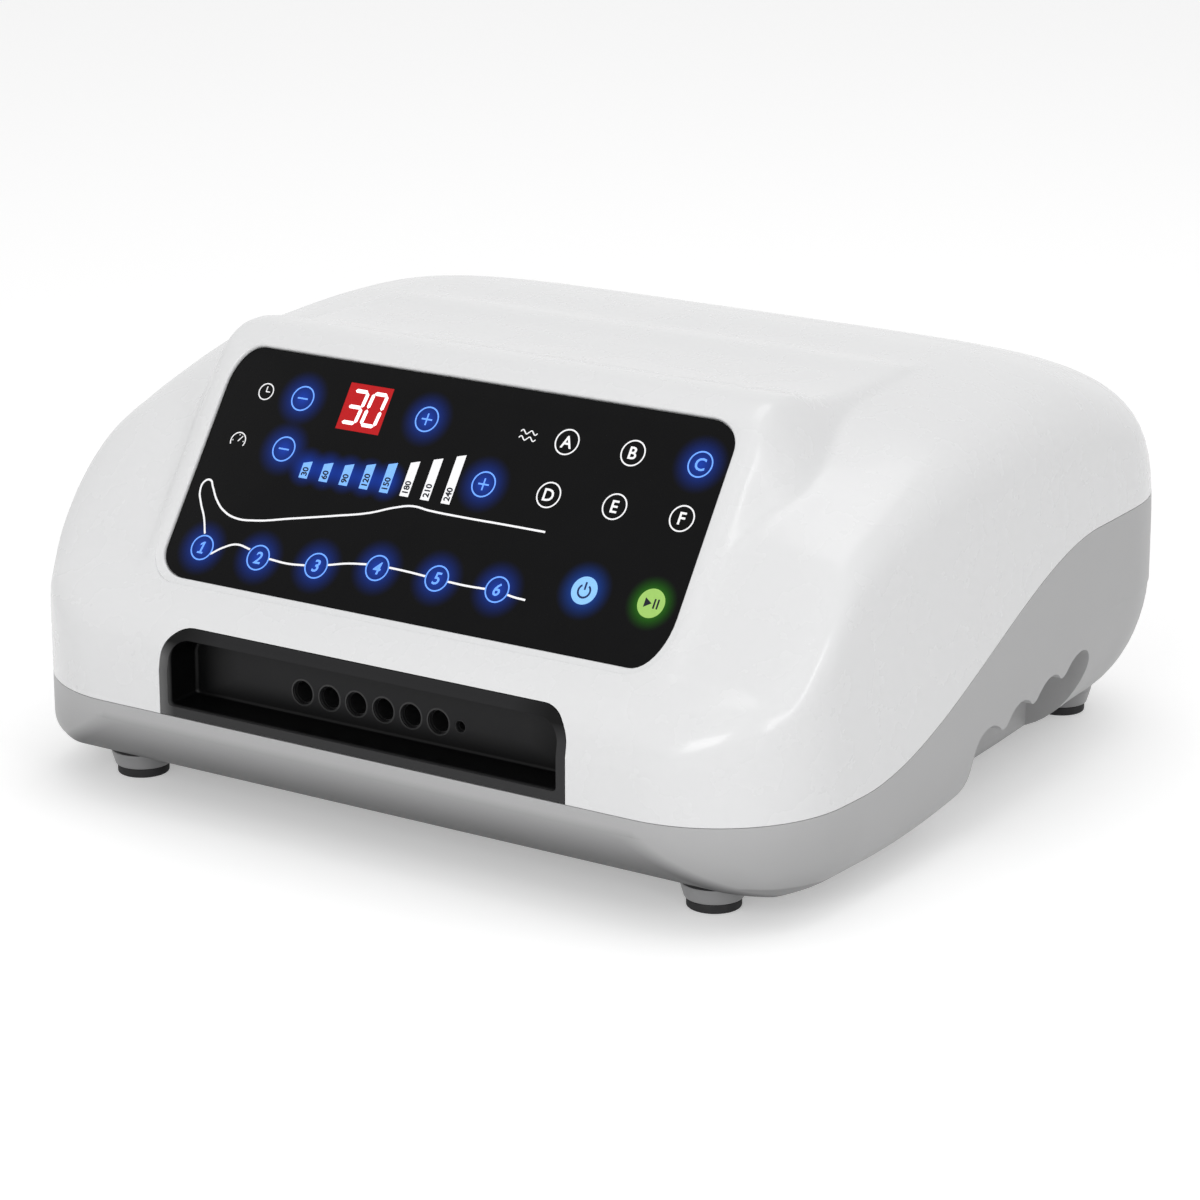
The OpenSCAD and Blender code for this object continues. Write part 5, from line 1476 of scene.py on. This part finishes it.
@dataclass
class OutletTray(SubAssembly):
    """Charcoal recess in the front with six air outlets and a small one."""

    half_w: float = 88.8
    low: float = 39.6
    top: float = 72.0
    corner: float = 12.0
    rim: float = 3.5
    draft: float = 1.5
    wall: float = 2.0
    depth: float = 15.0
    port_z: float = 53.0
    port_first: float = -34.9
    port_pitch: float = 12.0
    ports: int = 6
    port_r: float = 4.3
    small_gap: float = 9.5
    small_r: float = 1.95
    back_round: float = 1.2
    floor_round: float = 1.6

    def hollow(self, grow: float) -> bpy.types.Object:
        """The recess as a solid, rounded towards its back wall.

        Args:
            grow: Distance outward, for the outer side of its wall.

        Returns:
            The solid.
        """
        y0, y1 = -self.form.half_d - 6, self.depth - self.form.half_d + grow
        r, q = self.back_round, self.floor_round
        turns = [math.radians(90 * i / 6) for i in range(7)]
        levels = [(y0, 0.0), (-self.form.half_d + 1, 0.0)]
        levels += [(y1 - r + r * math.sin(a), r * (1 - math.cos(a))) for a in turns]
        rings = []
        for y, shrink in levels:
            share = min(1.0, max(0.0, (y + self.form.half_d) / self.depth))
            inset = self.rim + self.draft * share + shrink - grow
            w, top, low = self.half_w - inset, self.top - inset, self.low + self.rim + share + shrink - grow
            rad = max(q, self.corner - inset)
            half = arc((w - q, low + q), q, -90, 90, 5) + arc((w - rad, top - rad), rad, 0, 90, 10)
            outline = half + [(-x, z) for x, z in reversed(half)]
            rings.append([(x, y, z) for x, z in outline])
        return Bench.loft("recess", rings)

    def build(self) -> None:
        """Models the recess and the rims of its outlets."""
        half = self.form.half_d
        housing = Housing(self.form, self.palette)
        plate = Bench.outline("outlet_recess", housing.tray_outline(0, self.low),
                              lambda x, z: (x, -half - 6, z), Vector((0, 15, 0)))
        Bench.cut(plate, self.hollow(self.wall), Cut.JOIN)
        front = [(y, self.form.top_z(y)) for y in [-half + 0.25 * i for i in range(80)]]
        profile = [(-half, 20.0)] + front + [(-half + 20, 20.0)]
        keep = Bench.outline("front", profile, lambda y, z: (-120, y, z), Vector((240, 0, 0)))
        Bench.cut(plate, keep, Cut.KEEP)
        Bench.cut(plate, self.hollow(0))
        spots = [(self.port_first + i * self.port_pitch, self.port_r) for i in range(self.ports)]
        spots.append((spots[-1][0] + self.small_gap, self.small_r))
        for x, r in spots:
            Bench.cut(plate, self.bore_tool(x, r))
        Bench.shade(plate, 30)
        self.fit(plate, "charcoal_tray", "tray_grey", "port_tray")
        self.palette.dress(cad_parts["port_block"], "charcoal_outlet")

    def bore_tool(self, x: float, r: float) -> bpy.types.Object:
        """Cutter for one outlet: a bore with a countersunk mouth."""
        back = self.depth - self.form.half_d
        flare = 0.9 if r > 3 else 0.5
        levels = [(back - 4, r + flare), (back, r + flare), (back + flare, r), (back + 6, r)]
        rings = [[(u, y, z) for u, z in arc((x, self.port_z), radius, 0, 360, 40, True)]
                 for y, radius in levels]
        return Bench.loft("bore", rings)


@dataclass
class Fittings(SubAssembly):
    """Feet, rear fittings and everything inside, dressed on the CAD's own pieces."""

    rounded: dict[str, tuple[str, str, str, float, str]] = field(default_factory=lambda: {
        "foot_cups": ("foot_cup", "foot_grey", "tray_grey", 0.5, HOUSING_BODY),
        "rubber_feet": ("foot_pad", "foot_rubber", "black_rubber", 0.7, HOUSING_BODY),
        "mains_inlet": ("inlet_socket", "black_fitting", "fitting_black", 0.5, HOUSING_BODY),
        "switch_frame": ("switch_bezel", "black_fitting", "fitting_black", 0.4, HOUSING_BODY),
        "rocker": ("switch_rocker", "black_fitting", "fitting_black", 0.3, "power_rocker"),
        "fuse_holder": ("fuse_collar", "black_fitting", "fitting_black", 0.4, HOUSING_BODY),
        "fuse_cap": ("fuse_plug", "black_fitting", "fitting_black", 0.3, "fuse_plug"),
    })
    plain: dict[str, str] = field(default_factory=lambda: {
        "display_module": "red_window", "panel_board": "board_green", "main_board": "board_green",
        "panel_screws": "zinc_screw", "board_screws": "zinc_screw", "foot_screws": "zinc_screw",
        "cover_screws": "zinc_screw", "key_switches": "switch_grey", "outlet_tubes": "soft_tube",
        "sensor_tube": "soft_tube", "supply_tubes": "soft_tube", "transformer": "core_lacquer",
        "ribbon_cable": "ribbon_grey", "pump_mounts": "foot_rubber", "pump_frame": "pressed_steel",
        "pump_core": "core_lacquer", "pump_coils": "copper_winding", "pump_armature": "pressed_steel",
        "pump_diaphragms": "foot_rubber", "pump_heads": "grey_fitting", "valve_body": "grey_fitting",
        "valve_cap": "grey_fitting", "valve_rotor": "nylon_white", "valve_motor": "motor_can",
        "fan_frame": "black_fitting", "fan_rotor": "black_fitting", "key_play": "key_green",
        "port_nipples": "grey_fitting",
    })

    def build(self) -> None:
        """Rounds what shows and dresses the rest."""
        for node, (name, finish, slot, width, body) in self.rounded.items():
            self.fit(Bench.from_node(node, name, width), finish, slot, node, body=body)
        for node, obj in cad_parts.items():
            if node in self.plain:
                self.palette.dress(obj, self.plain[node])
            elif node.startswith("key_"):
                lit = any(word in node for word in ("position", "time", "pressure", "mode_c", "power"))
                self.palette.dress(obj, "key_blue" if lit else "key_white")


# Studio --------------------------------------------------------------------------------


@dataclass
class Studio:
    """Pale floor, soft lamps and the camera at the photograph's angle."""

    azimuth: float = 33.6
    elevation: float = 16.8
    focal_px: float = 4000.8
    right: float = -6.6
    up: float = 52.9
    distance: float = 1555.8
    image_px: float = 1200.0
    sensor: float = 36.0
    world_light: float = 0.62
    floor_lift: float = 0.35

    def camera(self) -> None:
        """Sets the camera from the measured view."""
        a, e = math.radians(self.azimuth), math.radians(self.elevation)
        right = Vector((math.cos(a), math.sin(a), 0))
        ahead = Vector((-math.sin(a) * math.cos(e), math.cos(a) * math.cos(e), -math.sin(e)))
        up = Vector((-math.sin(a) * math.sin(e), math.cos(a) * math.sin(e), math.cos(e)))
        data = bpy.data.cameras.new("studio_camera")
        data.sensor_width, data.sensor_fit = self.sensor, "HORIZONTAL"
        data.lens = self.focal_px / self.image_px * self.sensor
        data.clip_start, data.clip_end = 0.05, 20
        cam = bpy.data.objects.new("studio_camera", data)
        bpy.context.scene.collection.objects.link(cam)
        turn = Matrix((right, up, -ahead)).transposed().to_4x4()
        place = (right * self.right + up * self.up - ahead * self.distance) * MM
        cam.matrix_world = Matrix.Translation(place) @ turn
        bpy.context.scene.camera = cam

    def lamp(self, name: str, at: Point3, size: Point2, watts: float, aim: Point3 = (0, 0, 70)) -> None:
        """A soft box.

        Args:
            name: Name of the lamp.
            at: Its place in millimetres.
            size: Its width and height in millimetres.
            watts: Its power.
            aim: The point that it faces.
        """
        data = bpy.data.lights.new(name, "AREA")
        data.shape, data.size, data.size_y, data.energy = "RECTANGLE", size[0] * MM, size[1] * MM, watts
        obj = bpy.data.objects.new(name, data)
        bpy.context.scene.collection.objects.link(obj)
        obj.location = Vector(at) * MM
        obj.rotation_euler = (Vector(aim) - Vector(at)).to_track_quat("-Z", "Y").to_euler()

    def seen_white(self, tree: bpy.types.NodeTree) -> bpy.types.NodeSocket:
        """1 where the camera, a reflection or a look through glass sees the surface."""
        path = tree.nodes.new("ShaderNodeLightPath")
        first = tree.nodes.new("ShaderNodeMath")
        second = tree.nodes.new("ShaderNodeMath")
        for node in (first, second):
            node.operation = "MAXIMUM"
        tree.links.new(path.outputs["Is Camera Ray"], first.inputs[0])
        tree.links.new(path.outputs["Is Glossy Ray"], first.inputs[1])
        tree.links.new(first.outputs[0], second.inputs[0])
        tree.links.new(path.outputs["Is Transmission Ray"], second.inputs[1])
        return second.outputs[0]

    def world(self) -> None:
        """White where it is seen, softer as light."""
        world = bpy.data.worlds.new("studio_world")
        bpy.context.scene.world = world
        world.use_nodes = True
        tree = world.node_tree
        mix = tree.nodes.new("ShaderNodeMix")
        mix.inputs[2].default_value, mix.inputs[3].default_value = self.world_light, 1.0
        tree.links.new(self.seen_white(tree), mix.inputs["Factor"])
        background = tree.nodes["Background"]
        background.inputs["Color"].default_value = (1, 1, 1, 1)
        tree.links.new(mix.outputs[0], background.inputs["Strength"])

    def floor(self) -> None:
        """Pale floor that keeps the object's shadow."""
        Bench.clear()
        bpy.ops.mesh.primitive_plane_add(size=12)
        plane = bpy.context.object
        plane.name = "studio_floor"
        g = Graph("pale_floor")
        g.set("Base Color", (0.84, 0.84, 0.84, 1))
        g.set("Roughness", 0.9)
        g.set("Specular IOR Level", 0.1)
        g.set("Emission Color", (1, 1, 1, 1))
        lift = g.nodes.new("ShaderNodeMath")
        lift.operation = "MULTIPLY"
        g.links.new(self.seen_white(g.material.node_tree), lift.inputs[0])
        lift.inputs[1].default_value = self.floor_lift
        g.links.new(lift.outputs[0], g.shader.inputs["Emission Strength"])
        plane.data.materials.append(g.material)

    def build(self) -> None:
        """Sets up floor, lamps, world and camera."""
        bpy.context.scene.view_settings.view_transform = "Standard"
        self.camera()
        self.world()
        self.floor()
        self.lamp("front_box", (350, -1500, 700), (800, 600), 5.5)
        self.lamp("side_strip", (1300, -700, 620), (160, 900), 2.4)
        self.lamp("top_box", (0, 300, 1600), (1100, 1100), 4.5)


def main() -> None:
    """Builds the product and the studio, and reports each piece."""
    logging.basicConfig(level=logging.INFO, format="%(name)s: %(message)s")
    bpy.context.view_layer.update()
    form, studio = HousingForm(), Studio()
    palette = Palette(form)
    studio.build()
    for assembly in (Housing, ControlPanel, OutletTray, Fittings):
        assembly(form, palette).build()
    Bench.clear()


if __name__ == "__main__":
    main()
